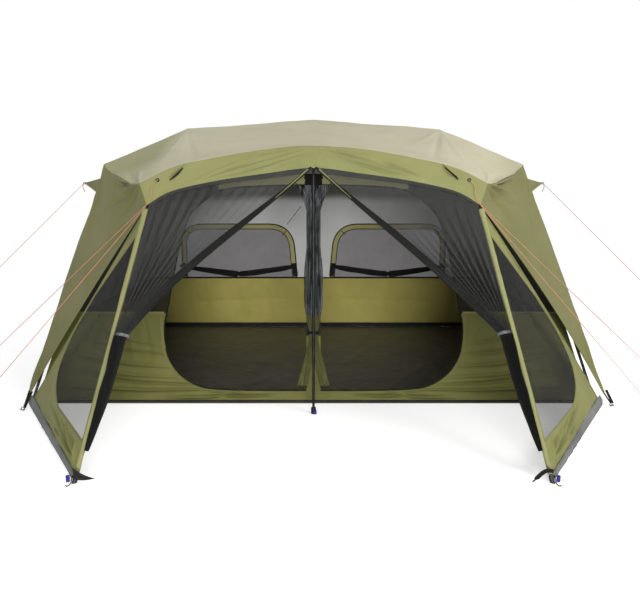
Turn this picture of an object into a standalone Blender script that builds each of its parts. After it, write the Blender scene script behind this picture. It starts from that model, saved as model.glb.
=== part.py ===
"""A family cabin tent with a screened porch: frame, flysheet, cabin, porch, tied-back doors and guy lines."""

import math

import bmesh
import bpy
from mathutils import Matrix, Vector
from mathutils.bvhtree import BVHTree

# The tent stands on Z = 0 and faces -Y. X runs to the right and Z up. All sizes are in metres.
TENT_HEIGHT = 2.29
SEAT_GAP = 0.0003

# Frame lines: a leg's foot, the elbow over it and the knuckle of its roof rod
LEG_BASE_X = 2.165
FRONT_LEG_Y = -0.815
REAR_LEG_Y = 2.135
ELBOW_X = 1.59
ELBOW_Z = 1.79
ELBOW_INSET_Y = 0.33
KNUCKLE_X = 1.05
KNUCKLE_DROP = 0.19
KNUCKLE_INSET_Y = 0.735

# Frame sections
ROD_RADIUS = 0.00635
SOCKET_WALL = 0.0045
SOCKET_LENGTH = 0.055
SOCKET_DEPTH = 0.035
HUB_RADIUS = 0.052
HUB_TOP_RADIUS = 0.0008
HUB_CONE = 0.022
HUB_HEIGHT = 0.052
HUB_ROD_DROP = 0.037
ELBOW_RADIUS = 0.018
UPPER_LEG_RADIUS = 0.0125
UPPER_LEG_WALL = 0.0015
UPPER_LEG_LENGTH = 0.98
LOWER_LEG_WALL = 0.0014
LEG_OVERLAP = 0.24
SLIDE_GAP = 0.0004
LEG_FOOT_RADIUS = 0.017
LEG_FOOT_LENGTH = 0.035
COLLAR_RADIUS = 0.0225
COLLAR_LENGTH = 0.055
BUTTON_RADIUS = 0.007
BUTTON_TRAVEL = 0.003
BUTTON_LENGTH = 0.0085
BUTTON_POCKET = 0.0075
# The elbow's knee, as a share of its radius: radius and distance along it, from the leg's end upwards
KNEE_CURVE = ((0.0, 2.0), (0.85, 1.8), (1.0, 1.0), (0.85, 0.2), (0.0, 0.0))
LEG_BORE_START = 0.027
CUT_BEYOND = 0.010

# Groundsheet and cabin walls
SHEET_THICKNESS = 0.003
SHEET_MARGIN = 0.028
WALL_THICKNESS = 0.003
WALL_INSET = 0.030
CABIN_WALL_DROP = 0.050
CABIN_ROOF_GAP = 0.045
GABLE_KNEES = (0.5, 1.0)
MIDDLE_GAP = 0.001

# D-shaped doorways in the cabin's front wall
DOOR_COLUMN = 0.055
DOOR_SILL_Z = 0.095
DOOR_WIDE_X = 1.15
DOOR_WIDE_Z = 0.55
DOOR_CORNER_X = 0.72
DOOR_SHOULDER_X = 1.01
DOOR_SHOULDER_Z = 1.30
DOOR_TOP_X = 0.62
DOOR_TOP_Z = 1.655
DOOR_COLUMN_TOP_Z = 1.69

# Porch: pole feet, the brow's corner over them, and the side walls' rear corners beside the front legs
PORCH_FOOT_X = 1.32
PORCH_FOOT_Y = -2.18
PORCH_TOP_X = 1.085
PORCH_TOP_Y = -1.32
PORCH_TOP_Z = 1.507
PORCH_REAR_INSET = -0.025
PORCH_REAR_AHEAD = 0.070
PORCH_POLE_RADIUS = 0.008
PORCH_POLE_DROP = 0.030
PORCH_FOOT_RADIUS = 0.014
PORCH_FOOT_LENGTH = 0.040
SLEEVE_WALL = 0.0025
SLEEVE_GAP = 0.0006
SLEEVE_START = 0.10
SLEEVE_END_GAP = 0.030
PORCH_WALL_THICKNESS = 0.003
PORCH_EDGE_BOW = 0.040
PORCH_EDGE_STEPS = 8

# Centre pole under the middle of the brow
CENTRE_POLE_FOOT_Y = -1.06
CENTRE_UPPER_RADIUS = 0.0110
CENTRE_TUBE_WALL = 0.0013
CENTRE_SPLIT_Z = 0.85
CENTRE_OVERLAP = 0.20
CENTRE_FOOT_RADIUS = 0.018
CENTRE_FOOT_LENGTH = 0.045
CENTRE_TIP_LENGTH = 0.030
CENTRE_TIP_GAP = 0.0011
CENTRE_TIP_DEPTH = 0.008
CENTRE_TIP_RADIUS = 0.0026
CENTRE_PIN_RADIUS = 0.0039

# Flysheet
FLY_THICKNESS = 0.003
FLY_RISE = 0.023
ELBOW_FLY_OUT = 0.028
FRONT_CREASE_OUT = 0.065
FRONT_CREASE_RISE = 0.143
REAR_CREASE_IN = 0.310
REAR_CREASE_DROP = 0.030
REAR_CREASE_INSET = 0.155
REAR_BROW_IN = 0.370
REAR_BROW_DROP = 0.200
REAR_BROW_INSET = 0.030
# Each curve runs from the middle to its corner: share of the corner's x, and height above the corner
FRONT_CREASE_CURVE = ((0.0, 0.250), (0.29, 0.228), (0.57, 0.173), (0.81, 0.108), (1.0, 0.0))
FRONT_BROW_CURVE = ((0.0, 0.243), (0.30, 0.205), (0.60, 0.156), (0.86, 0.089), (1.0, 0.0))
REAR_CREASE_CURVE = ((0.0, 0.170), (0.26, 0.155), (0.51, 0.125), (0.73, 0.090), (1.0, 0.0))
REAR_BROW_CURVE = ((0.0, 0.150), (0.27, 0.140), (0.53, 0.115), (0.76, 0.080), (1.0, 0.0))
RIDGE_COLUMNS = (2, 2, 1, 3)
ROOF_ROWS = 4
BROW_ROWS = 2
WING_ROWS = 8
SIDE_ROWS = 8
AWNING_START = 2
ROOF_SAG = 0.020
EAVE_SAG = 0.020
WING_TIP_BESIDE = 0.050
WING_TIP_OUT = 0.045
WING_TIP_Z = 0.100
WING_TIP_WIDTH = 0.024
WING_TIP_ROUND = 0.016
WING_TIP_NOTCH = 0.004
WING_HOLLOW = 0.080
AWNING_REACH = 0.615
AWNING_DROP = 0.090

# Porch doors, tied back to the porch poles
CURTAIN_THICKNESS = 0.0015
CURTAIN_HANG_GAP = 0.0006
CURTAIN_START = 0.16
CURTAIN_CORNER = 1.3
CURTAIN_TIE_Z = 0.745
CURTAIN_TIE_WIDTH = 0.075
CURTAIN_END_Z = 0.150
CURTAIN_END_WIDTH = 0.034
CURTAIN_BUNDLE_WIDTH = 0.072
CURTAIN_FOLDS = 6
CURTAIN_FOLD_DEPTH = 0.010
CURTAIN_FLAT_EDGE = 1 / 6
CURTAIN_SWELL_TURN = 1.2
CURTAIN_FAN_ROWS = 7
CURTAIN_BUNDLE_ROWS = 5
ZIP_SLIDER_LENGTH = 0.014
ZIP_SLIDER_WIDTH = 0.010
ZIP_SLIDER_HEIGHT = 0.006
ZIP_PULL_LENGTH = 0.032
ZIP_START = 0.16

# Cabin doors, rolled and tied at the column: height, radius and how far out of the middle
CABIN_DOOR_STATIONS = (
    (1.600, 0.008, 0.000),
    (1.380, 0.013, 0.000),
    (1.150, 0.026, 0.000),
    (0.950, 0.034, 0.000),
    (0.740, 0.030, 0.000),
    (0.540, 0.016, 0.000),
    (0.400, 0.024, 0.004),
    (0.250, 0.030, 0.024),
    (0.130, 0.022, 0.066),
)
WINDOW_COVER_STATIONS = (
    (0.200, 0.745, 0.018),
    (0.420, 0.705, 0.030),
    (0.680, 0.675, 0.035),
    (0.940, 0.665, 0.036),
    (1.180, 0.680, 0.035),
    (1.400, 0.710, 0.030),
    (1.600, 0.760, 0.018),
)
BUNDLE_LOBES = 6
BUNDLE_LOBE_DEPTH = 0.30
BUNDLE_TWIST = 0.35
BUNDLE_SIDES = 24

# Guy lines: how far from its corner each line's peg end lies, and the runners and pegs on them
GUY_RADIUS = 0.002
GUY_POINTS = 12
AWNING_PEG_REACH = (1.140, -1.770)
SIDE_PEG_REACH = (1.745, 0.350)
FRONT_PEG_REACH = (1.235, -0.480)
SIDE_GUY_START = (0.0022, -0.0006, 0.0012)
FRONT_GUY_START = (0.0004, -0.0036, -0.0012)
AWNING_GUY_START = (0.0017, 0.0, -0.0005)
GUY_END_Z = 0.0045
RUNNER_LENGTH = 0.030
RUNNER_WIDTH = 0.014
RUNNER_DEPTH = 0.009
RUNNER_BORE_GAP = 0.0004
RUNNER_FROM_PEG = 0.45
PEG_RADIUS = 0.003
PEG_LENGTH = 0.190
PEG_HOOK_RADIUS = 0.009
PEG_HOOK_STEPS = 6
PEG_HOOK_START = -150
PEG_HOOK_TURN = 240

SIDES = {"left": -1, "right": 1}
ENDS = ("front", "rear")
MIDDLE_Y = (FRONT_LEG_Y + REAR_LEG_Y) / 2
FLOOR_TOP = SHEET_THICKNESS + SEAT_GAP
KNUCKLE_Z = TENT_HEIGHT - KNUCKLE_DROP
CABIN_WALL_Z = ELBOW_Z - CABIN_WALL_DROP
FRONT_SLOPE = (PORCH_TOP_Y - PORCH_FOOT_Y) / PORCH_TOP_Z
HUB_Z = TENT_HEIGHT - FLY_THICKNESS - SEAT_GAP - HUB_ROD_DROP
BROW_CORNER = Vector((PORCH_TOP_X, PORCH_TOP_Y, PORCH_TOP_Z))
AWNING_TIP = Vector((ELBOW_X + AWNING_REACH, MIDDLE_Y, ELBOW_Z - AWNING_DROP))


def start_scene():
    """Empties the scene and makes the tent's collection and the one for cutters."""
    for thing in list(bpy.data.objects):
        bpy.data.objects.remove(thing)
    collections = {}
    for name in ("family_tent", "cutters"):
        collections[name] = bpy.data.collections.new(name)
        bpy.context.scene.collection.children.link(collections[name])
    return collections


COLLECTIONS = start_scene()


def make_material(name, colour, roughness, metallic=0.0):
    material = bpy.data.materials.new(name)
    material.use_nodes = True
    shader = material.node_tree.nodes["Principled BSDF"]
    shader.inputs["Base Color"].default_value = (*colour, 1.0)
    shader.inputs["Roughness"].default_value = roughness
    shader.inputs["Metallic"].default_value = metallic
    return material


ROOF_CLOTH = make_material("roof_cloth", (0.50, 0.48, 0.37), 0.80)
OLIVE_CLOTH = make_material("olive_cloth", (0.28, 0.27, 0.12), 0.80)
MESH_CLOTH = make_material("mesh_cloth", (0.03, 0.03, 0.03), 0.90)
GROUND_CLOTH = make_material("ground_cloth", (0.04, 0.04, 0.04), 0.50)
DARK_STEEL = make_material("dark_steel", (0.05, 0.05, 0.05), 0.35, 0.8)
BLACK_PLASTIC = make_material("black_plastic", (0.02, 0.02, 0.02), 0.50)
ROD_BLACK = make_material("rod_black", (0.03, 0.03, 0.03), 0.40)
CORD_PINK = make_material("cord_pink", (0.60, 0.30, 0.22), 0.80)
PEG_STEEL = make_material("peg_steel", (0.60, 0.60, 0.60), 0.30, 1.0)


def add_object(name, data, material, collection="family_tent"):
    thing = bpy.data.objects.new(name, data)
    COLLECTIONS[collection].objects.link(thing)
    if material:
        data.materials.append(material)
    if collection == "cutters":
        thing.hide_render = True
        thing.display_type = "WIRE"
    return thing


def add_mesh(name, form, material, collection="family_tent"):
    """Turns a bmesh into an object and frees it."""
    mesh = bpy.data.meshes.new(name)
    form.to_mesh(mesh)
    form.free()
    return add_object(name, mesh, material, collection)


def aim(thing, start, end):
    """Puts an object's origin at start, with its Z axis towards end."""
    direction = Vector(end) - Vector(start)
    turn = direction.to_track_quat("Z", "Y").to_matrix().to_4x4()
    thing.matrix_world = Matrix.Translation(start) @ turn
    return thing


def turned(name, profile, start, end, material, closed=False, steps=16, collection="family_tent"):
    """A turned shape. The profile is (radius, distance from start), from the far end back along the outside."""
    form = bmesh.new()
    verts = [form.verts.new((radius, 0.0, distance)) for radius, distance in profile]
    for first, second in zip(verts, verts[1:]):
        form.edges.new((first, second))
    if closed:
        form.edges.new((verts[-1], verts[0]))
    thing = add_mesh(name, form, material, collection)
    screw = thing.modifiers.new("turn", "SCREW")
    screw.steps = steps
    screw.render_steps = steps
    screw.use_merge_vertices = True
    screw.merge_threshold = 0.00001
    screw.use_smooth_shade = True
    return aim(thing, start, end)


def rod_profile(radius, length, begin=0.0):
    return [(0.0, length), (radius, length), (radius, begin), (0.0, begin)]


def tube_profile(radius, bore, length, begin=0.0):
    return [(radius, length), (radius, begin), (bore, begin), (bore, length)]


def combine(target, other, operation):
    """Joins the other object to the target, or cuts it out of it."""
    modifier = target.modifiers.new(other.name, "BOOLEAN")
    modifier.operation = operation
    modifier.object = other
    modifier.solver = "EXACT"


def cutter_rod(name, start, end, radius, overshoot=0.0, steps=16):
    start, end = Vector(start), Vector(end)
    along = (end - start).normalized()
    length = (end - start).length + overshoot
    return turned(name, rod_profile(radius, length), start, start + along, None, steps=steps, collection="cutters")


def ground_cutter(name, height):
    """A large box whose top is at the given height, to cut a leaning foot flat."""
    form = bmesh.new()
    bmesh.ops.create_cube(form, size=1.0)
    bmesh.ops.scale(form, verts=form.verts, vec=(8.0, 8.0, 0.2))
    thing = add_mesh(name, form, None, "cutters")
    thing.location = (0.0, 0.0, height - 0.1)
    return thing


def leg_points(side, end):
    """The foot, elbow and knuckle of one corner, on the centrelines of the frame."""
    inward = 1 if end == "front" else -1
    base_y = FRONT_LEG_Y if end == "front" else REAR_LEG_Y
    foot = Vector((side * LEG_BASE_X, base_y, FLOOR_TOP))
    elbow = Vector((side * ELBOW_X, base_y + inward * ELBOW_INSET_Y, ELBOW_Z))
    knuckle = Vector((side * KNUCKLE_X, base_y + inward * KNUCKLE_INSET_Y, KNUCKLE_Z))
    return foot, elbow, knuckle


HUB = Vector((0.0, MIDDLE_Y, HUB_Z))


def towards(start, end, distance):
    return start + (end - start).normalized() * distance


def front_plane(x, z):
    """The point of the porch's leaning front plane at this x and height."""
    return Vector((x, PORCH_FOOT_Y + FRONT_SLOPE * z, z))


def build_hub():
    top = TENT_HEIGHT - FLY_THICKNESS - SEAT_GAP
    profile = [
        (0.0, HUB_HEIGHT),
        (HUB_TOP_RADIUS, HUB_HEIGHT),
        (HUB_RADIUS, HUB_HEIGHT - HUB_CONE),
        (HUB_RADIUS, 0.0),
        (0.0, 0.0),
    ]
    base = Vector((0.0, MIDDLE_Y, top - HUB_HEIGHT))
    hub = turned("roof_hub", profile, base, base + Vector((0, 0, 1)), BLACK_PLASTIC, steps=24)
    for end in ENDS:
        for name, side in SIDES.items():
            knuckle = leg_points(side, end)[2]
            tip = towards(HUB, knuckle, HUB_RADIUS + SOCKET_DEPTH)
            arm = cutter_rod(f"hub_arm_{end}_{name}", HUB, tip, ROD_RADIUS + SOCKET_WALL)
            combine(hub, arm, "UNION")
    for end in ENDS:
        for name, side in SIDES.items():
            knuckle = leg_points(side, end)[2]
            seat = towards(HUB, knuckle, HUB_RADIUS - SEAT_GAP)
            bore = cutter_rod(f"hub_bore_{end}_{name}", seat, knuckle, ROD_RADIUS + SEAT_GAP)
            combine(hub, bore, "DIFFERENCE")


def build_roof_rods(name, side, end):
    """The inner rod, from the hub to the knuckle, and the outer rod with the knuckle moulded on."""
    foot, elbow, knuckle = leg_points(side, end)
    inner_start = towards(HUB, knuckle, HUB_RADIUS)
    inner_end = towards(knuckle, HUB, SOCKET_LENGTH - SOCKET_DEPTH)
    length = (inner_end - inner_start).length
    turned(f"roof_rod_inner_{end}_{name}", rod_profile(ROD_RADIUS, length), inner_start, inner_end, ROD_BLACK, steps=12)

    outer_start = towards(elbow, knuckle, SOCKET_LENGTH - SOCKET_DEPTH)
    outer = turned(
        f"roof_rod_outer_{end}_{name}",
        rod_profile(ROD_RADIUS, (knuckle - outer_start).length),
        outer_start,
        knuckle,
        ROD_BLACK,
        steps=12,
    )
    shell = ROD_RADIUS + SOCKET_WALL
    inner_arm = cutter_rod(f"knuckle_inner_{end}_{name}", knuckle, towards(knuckle, HUB, SOCKET_LENGTH), shell)
    outer_arm = cutter_rod(f"knuckle_outer_{end}_{name}", towards(knuckle, elbow, SOCKET_LENGTH), knuckle, shell, 0.004)
    bore = cutter_rod(f"knuckle_bore_{end}_{name}", inner_end - (inner_start - inner_end).normalized() * SEAT_GAP,
                      HUB, ROD_RADIUS + SEAT_GAP)
    combine(outer, outer_arm, "UNION")
    combine(outer, inner_arm, "UNION")
    combine(outer, bore, "DIFFERENCE")


def build_leg(name, side, end):
    """An upper leg with its elbow and lock collar, a lower leg that slides in it, and the spring button."""
    foot, elbow, knuckle = leg_points(side, end)
    inner_radius = UPPER_LEG_RADIUS - UPPER_LEG_WALL
    down = (foot - elbow).normalized()
    tube_end = elbow + down * UPPER_LEG_LENGTH
    bore_top = elbow + down * LEG_BORE_START
    upper = turned(
        f"leg_upper_{end}_{name}",
        rod_profile(UPPER_LEG_RADIUS, UPPER_LEG_LENGTH),
        elbow,
        tube_end,
        DARK_STEEL,
    )
    socket = cutter_rod(
        f"elbow_socket_{end}_{name}", elbow, towards(elbow, knuckle, SOCKET_LENGTH), ROD_RADIUS + SOCKET_WALL
    )
    knee = turned(
        f"elbow_knee_{end}_{name}",
        [(ELBOW_RADIUS * across, ELBOW_RADIUS * along) for across, along in KNEE_CURVE],
        elbow - down * ELBOW_RADIUS,
        elbow,
        None,
        collection="cutters",
    )
    collar = cutter_rod(f"leg_collar_{end}_{name}", tube_end - down * COLLAR_LENGTH, tube_end, COLLAR_RADIUS)
    bore = cutter_rod(f"leg_bore_{end}_{name}", bore_top, tube_end, inner_radius, CUT_BEYOND)
    seat = towards(elbow, knuckle, SOCKET_LENGTH - SOCKET_DEPTH - SEAT_GAP)
    rod_bore = cutter_rod(f"elbow_bore_{end}_{name}", seat, knuckle, ROD_RADIUS + SEAT_GAP)

    across = Vector((side, 0.0, 0.0))
    outward = (across - down * across.dot(down)).normalized()
    button_centre = tube_end - down * (COLLAR_LENGTH / 2)
    pocket_floor = button_centre + outward * (COLLAR_RADIUS - BUTTON_POCKET)
    pocket = cutter_rod(
        f"button_pocket_{end}_{name}", pocket_floor, button_centre + outward * COLLAR_RADIUS,
        BUTTON_RADIUS + SEAT_GAP, CUT_BEYOND,
    )
    for other, operation in (
        (knee, "UNION"), (socket, "UNION"), (collar, "UNION"),
        (bore, "DIFFERENCE"), (rod_bore, "DIFFERENCE"), (pocket, "DIFFERENCE"),
    ):
        combine(upper, other, operation)

    button_start = pocket_floor + outward * (BUTTON_TRAVEL + SEAT_GAP)
    turned(
        f"leg_button_{end}_{name}",
        rod_profile(BUTTON_RADIUS, BUTTON_LENGTH),
        button_start,
        button_start + outward,
        BLACK_PLASTIC,
        steps=12,
    )

    lower_radius = inner_radius - SLIDE_GAP
    length = (foot - elbow).length - UPPER_LEG_LENGTH + LEG_OVERLAP
    rim = LEG_FOOT_LENGTH
    profile = [
        (lower_radius, length),
        (lower_radius, rim),
        (LEG_FOOT_RADIUS, rim),
        (LEG_FOOT_RADIUS, -LEG_FOOT_RADIUS),
        (0.0, -LEG_FOOT_RADIUS),
        (0.0, rim),
        (lower_radius - LOWER_LEG_WALL, rim),
        (lower_radius - LOWER_LEG_WALL, length),
    ]
    lower = turned(f"leg_lower_{end}_{name}", profile, foot, elbow, DARK_STEEL, closed=True)
    combine(lower, ground_cutter(f"leg_ground_{end}_{name}", FLOOR_TOP), "DIFFERENCE")


def build_groundsheet():
    form = bmesh.new()
    bmesh.ops.create_cube(form, size=1.0)
    size = (
        2 * (LEG_BASE_X + SHEET_MARGIN),
        REAR_LEG_Y - FRONT_LEG_Y + 2 * SHEET_MARGIN,
        SHEET_THICKNESS,
    )
    bmesh.ops.scale(form, verts=form.verts, vec=size)
    bmesh.ops.translate(form, verts=form.verts, vec=(0.0, MIDDLE_Y, SHEET_THICKNESS / 2))
    add_mesh("groundsheet", form, GROUND_CLOTH)


def outline_panel(name, splines, frame, thickness, material, collection="family_tent"):
    """A flat panel with holes, from closed outlines in the frame's own X and Y."""
    curve = bpy.data.curves.new(name, "CURVE")
    curve.dimensions = "2D"
    curve.fill_mode = "BOTH"
    curve.extrude = thickness / 2
    for points in splines:
        spline = curve.splines.new("POLY")
        spline.points.add(len(points) - 1)
        for point, (x, y) in zip(spline.points, points):
            point.co = (x, y, 0.0, 1.0)
        spline.use_cyclic_u = True
    thing = add_object(name, curve, material, collection)
    thing.matrix_world = frame
    return thing


def wall_frame(origin, across, up):
    """The matrix of a wall's plane: X across it, Y up it, Z out of it."""
    across, up = Vector(across).normalized(), Vector(up).normalized()
    out = across.cross(up)
    frame = Matrix((across, up, out)).transposed().to_4x4()
    frame.translation = origin
    return frame


def ellipse_arc(centre, radii, first, last, count):
    """Points of an ellipse's arc, with the angles in degrees."""
    points = []
    for step in range(count + 1):
        angle = math.radians(first + (last - first) * step / count)
        points.append((centre[0] + radii[0] * math.cos(angle), centre[1] + radii[1] * math.sin(angle)))
    return points


def doorway(side, stretch):
    """One D-shaped doorway's outline, with heights measured up the leaning wall."""
    points = [(DOOR_COLUMN, DOOR_SILL_Z)]
    points += ellipse_arc(
        (DOOR_CORNER_X, DOOR_WIDE_Z), (DOOR_WIDE_X - DOOR_CORNER_X, DOOR_WIDE_Z - DOOR_SILL_Z), -90, 0, 8
    )
    points += ellipse_arc(
        (DOOR_TOP_X, DOOR_SHOULDER_Z), (DOOR_SHOULDER_X - DOOR_TOP_X, DOOR_TOP_Z - DOOR_SHOULDER_Z), 0, 90, 8
    )
    points.append((DOOR_COLUMN, DOOR_COLUMN_TOP_Z))
    return [(side * x, z * stretch) for x, z in points]


END_LEAN = ELBOW_INSET_Y / (ELBOW_Z - FLOOR_TOP)
SIDE_LEAN = (LEG_BASE_X - ELBOW_X) / (ELBOW_Z - FLOOR_TOP)


def end_wall_y(end, z):
    """The y of the middle of the cabin's front or rear wall at this height."""
    if end == "front":
        return FRONT_LEG_Y + WALL_INSET + END_LEAN * (z - FLOOR_TOP)
    return REAR_LEG_Y - WALL_INSET - END_LEAN * (z - FLOOR_TOP)


def side_wall_x(z):
    return LEG_BASE_X - WALL_INSET - SIDE_LEAN * (z - FLOOR_TOP)


def under_roof(x, y):
    """The height of the flysheet's inside over this place."""
    place = Vector((max(x, MIDDLE_GAP), y, 0.0))
    return ROOF.ray_cast(place, Vector((0.0, 0.0, 1.0)))[0].z - FLY_THICKNESS


def wall_top(end, x):
    """The height at which the end wall stops, a clearance under the flysheet."""
    height = ELBOW_Z
    for _ in range(3):
        height = under_roof(x, end_wall_y(end, height)) - CABIN_ROOF_GAP
    return height


def build_end_wall(name, end, holes):
    stretch = math.hypot(1.0, END_LEAN)
    inward = 1 if end == "front" else -1
    base = Vector((0.0, end_wall_y(end, 0.0), 0.0))
    frame = wall_frame(base, (1, 0, 0), (0, inward * END_LEAN, 1))
    low = FLOOR_TOP + WALL_THICKNESS * END_LEAN
    half = [(side_wall_x(low), low), (side_wall_x(CABIN_WALL_Z), CABIN_WALL_Z)]
    half += [(x, wall_top(end, x)) for x in reversed(GABLE_KNEES)]
    half.append((0.0, wall_top(end, 0.0)))
    outline = half + [(-x, z) for x, z in reversed(half[:-1])]
    splines = [[(x, z * stretch) for x, z in outline]]
    splines += [doorway(side, stretch) for side in holes]
    outline_panel(name, splines, frame, WALL_THICKNESS, OLIVE_CLOTH)


def build_side_wall(name, side):
    stretch = math.hypot(1.0, SIDE_LEAN)
    base = Vector((side * side_wall_x(0.0), 0.0, 0.0))
    frame = wall_frame(base, (0, 1, 0), (-side * SIDE_LEAN, 0, 1))
    low = FLOOR_TOP + WALL_THICKNESS * SIDE_LEAN
    clear = WALL_THICKNESS / 2 + WALL_THICKNESS * SIDE_LEAN + SEAT_GAP * 2
    outline = [
        (end_wall_y(end, z) + (clear if end == "front" else -clear), z * stretch)
        for end, z in (("front", low), ("rear", low), ("rear", CABIN_WALL_Z), ("front", CABIN_WALL_Z))
    ]
    outline_panel(f"cabin_wall_{name}", [outline], frame, WALL_THICKNESS, OLIVE_CLOTH)


def porch_pole_line(side):
    foot = Vector((side * PORCH_FOOT_X, PORCH_FOOT_Y, 0.0))
    top = Vector((side * PORCH_TOP_X, PORCH_TOP_Y, PORCH_TOP_Z))
    return foot, towards(top, foot, PORCH_POLE_DROP)


def build_porch_pole(name, side):
    foot, top = porch_pole_line(side)
    profile = [
        (0.0, (top - foot).length),
        (PORCH_POLE_RADIUS, (top - foot).length),
        (PORCH_POLE_RADIUS, PORCH_FOOT_LENGTH),
        (PORCH_FOOT_RADIUS, PORCH_FOOT_LENGTH),
        (PORCH_FOOT_RADIUS, -PORCH_FOOT_RADIUS),
        (0.0, -PORCH_FOOT_RADIUS),
    ]
    pole = turned(f"porch_pole_{name}", profile, foot, top, DARK_STEEL)
    combine(pole, ground_cutter(f"porch_ground_{name}", 0.0), "DIFFERENCE")


def build_porch_side(name, side):
    """The porch's side wall: a flat triangle from the pole back to the cabin's corner, and the pole's sleeve."""
    foot, top = porch_pole_line(side)
    rear = Vector((side * (LEG_BASE_X - PORCH_REAR_INSET), FRONT_LEG_Y - PORCH_REAR_AHEAD, 0.0))
    along = (top - foot).normalized()
    across = rear - foot
    across = (across - along * across.dot(along)).normalized()
    frame = wall_frame(foot, across * side, along)
    lean = abs(frame.col[2].xyz.z)
    lift = PORCH_WALL_THICKNESS * lean / 2 + SEAT_GAP
    sleeve_inner = PORCH_POLE_RADIUS + SLEEVE_GAP
    sleeve_outer = sleeve_inner + SLEEVE_WALL
    sleeve_top = (top - foot).length - SLEEVE_END_GAP
    rear_low = frame.inverted() @ (rear + Vector((0.0, 0.0, lift)))
    edge = side * (sleeve_inner + SLEEVE_WALL / 2)
    front_low = frame.inverted() @ (foot + Vector((0.0, 0.0, lift)))
    rise = (rear_low.y - front_low.y) / (rear_low.x - front_low.x)
    toe = side * (PORCH_FOOT_RADIUS + SLEEVE_WALL)
    toe_y = front_low.y + rise * (toe - front_low.x)
    first, last = Vector((rear_low.x, rear_low.y)), Vector((edge, sleeve_top))
    out = (last - first).orthogonal().normalized()
    out *= PORCH_EDGE_BOW if out.x * side > 0 else -PORCH_EDGE_BOW
    outline = [(toe, toe_y)]
    for step in range(PORCH_EDGE_STEPS + 1):
        share = step / PORCH_EDGE_STEPS
        outline.append(tuple(first.lerp(last, share) + out * (4 * share * (1 - share))))
    outline.append((edge, SLEEVE_START))
    flat = outline_panel(f"porch_panel_{name}", [outline], frame, PORCH_WALL_THICKNESS, None, "cutters")
    panel = turned(
        f"porch_side_{name}",
        tube_profile(sleeve_outer, sleeve_inner, sleeve_top, SLEEVE_START),
        foot,
        top,
        OLIVE_CLOTH,
        closed=True,
        steps=12,
    )
    mesh_panel = make_mesh_copy(flat)
    combine(panel, mesh_panel, "UNION")


def make_mesh_copy(thing):
    """Replaces a curve by its welded mesh, which can be a Boolean's operand."""
    graph = bpy.context.evaluated_depsgraph_get()
    mesh = bpy.data.meshes.new_from_object(thing.evaluated_get(graph))
    form = bmesh.new()
    form.from_mesh(mesh)
    bmesh.ops.remove_doubles(form, verts=form.verts, dist=0.00005)
    bmesh.ops.recalc_face_normals(form, faces=form.faces)
    form.to_mesh(mesh)
    form.free()
    copy = add_object(f"{thing.name}_mesh", mesh, None, "cutters")
    copy.matrix_world = thing.matrix_world.copy()
    bpy.data.objects.remove(thing)
    return copy


def build_centre_pole():
    foot = Vector((0.0, CENTRE_POLE_FOOT_Y, 0.0))
    top = Vector((0.0, fly_crease("front")[0].y + CENTRE_TIP_DEPTH, 0.0))
    top.z = under_roof(0.0, top.y) - CENTRE_TIP_GAP
    length = (top - foot).length
    split = CENTRE_SPLIT_Z
    bore = CENTRE_UPPER_RADIUS - CENTRE_TUBE_WALL
    lower_radius = bore - SLIDE_GAP
    shoulder = length - CENTRE_TIP_LENGTH
    upper_profile = [
        (0.0, length),
        (CENTRE_TIP_RADIUS, length),
        (CENTRE_PIN_RADIUS, shoulder),
        (CENTRE_UPPER_RADIUS, shoulder),
        (CENTRE_UPPER_RADIUS, split),
        (bore, split),
        (bore, shoulder - CENTRE_TIP_LENGTH),
        (0.0, shoulder - CENTRE_TIP_LENGTH),
    ]
    turned("centre_pole_upper", upper_profile, foot, top, DARK_STEEL)
    lower_profile = [
        (lower_radius, split + CENTRE_OVERLAP),
        (lower_radius, CENTRE_FOOT_LENGTH),
        (CENTRE_FOOT_RADIUS, CENTRE_FOOT_LENGTH),
        (CENTRE_FOOT_RADIUS, -CENTRE_FOOT_RADIUS),
        (0.0, -CENTRE_FOOT_RADIUS),
        (0.0, CENTRE_FOOT_LENGTH),
        (lower_radius - CENTRE_TUBE_WALL, CENTRE_FOOT_LENGTH),
        (lower_radius - CENTRE_TUBE_WALL, split + CENTRE_OVERLAP),
    ]
    lower = turned("centre_pole_lower", lower_profile, foot, top, DARK_STEEL, closed=True)
    combine(lower, ground_cutter("centre_ground", 0.0), "DIFFERENCE")


def spread(points, counts):
    """The points of a polyline, each stretch split into as many equal steps as its count says."""
    result = [Vector(points[0])]
    for first, last, count in zip(points, points[1:], counts):
        for step in range(1, count + 1):
            result.append(Vector(first).lerp(Vector(last), step / count))
    return result


def hollow_edge(first, last, count, pull):
    """An edge with a hollow: it bows by the pull vector in its middle."""
    points = []
    for step in range(count + 1):
        share = step / count
        points.append(first.lerp(last, share) + pull * (4 * share * (1 - share)))
    return points


def web(near, far, rows, sag):
    """Rows of points between two edges with as many points each, sagging in the middle."""
    result = []
    for row in range(rows + 1):
        share = row / rows
        drop = Vector((0.0, 0.0, -sag * 4 * share * (1 - share)))
        result.append([a.lerp(b, share) + drop for a, b in zip(near, far)])
    return result


def add_web(form, rows):
    """Adds the faces of a grid of points. Points that coincide make triangles."""
    for upper, lower in zip(rows, rows[1:]):
        for k in range(len(upper) - 1):
            corners = []
            for point in (upper[k], upper[k + 1], lower[k + 1], lower[k]):
                if all((point - other).length > 0.00001 for other in corners):
                    corners.append(point)
            if len(corners) > 2:
                form.faces.new([form.verts.new(point) for point in corners])


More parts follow.
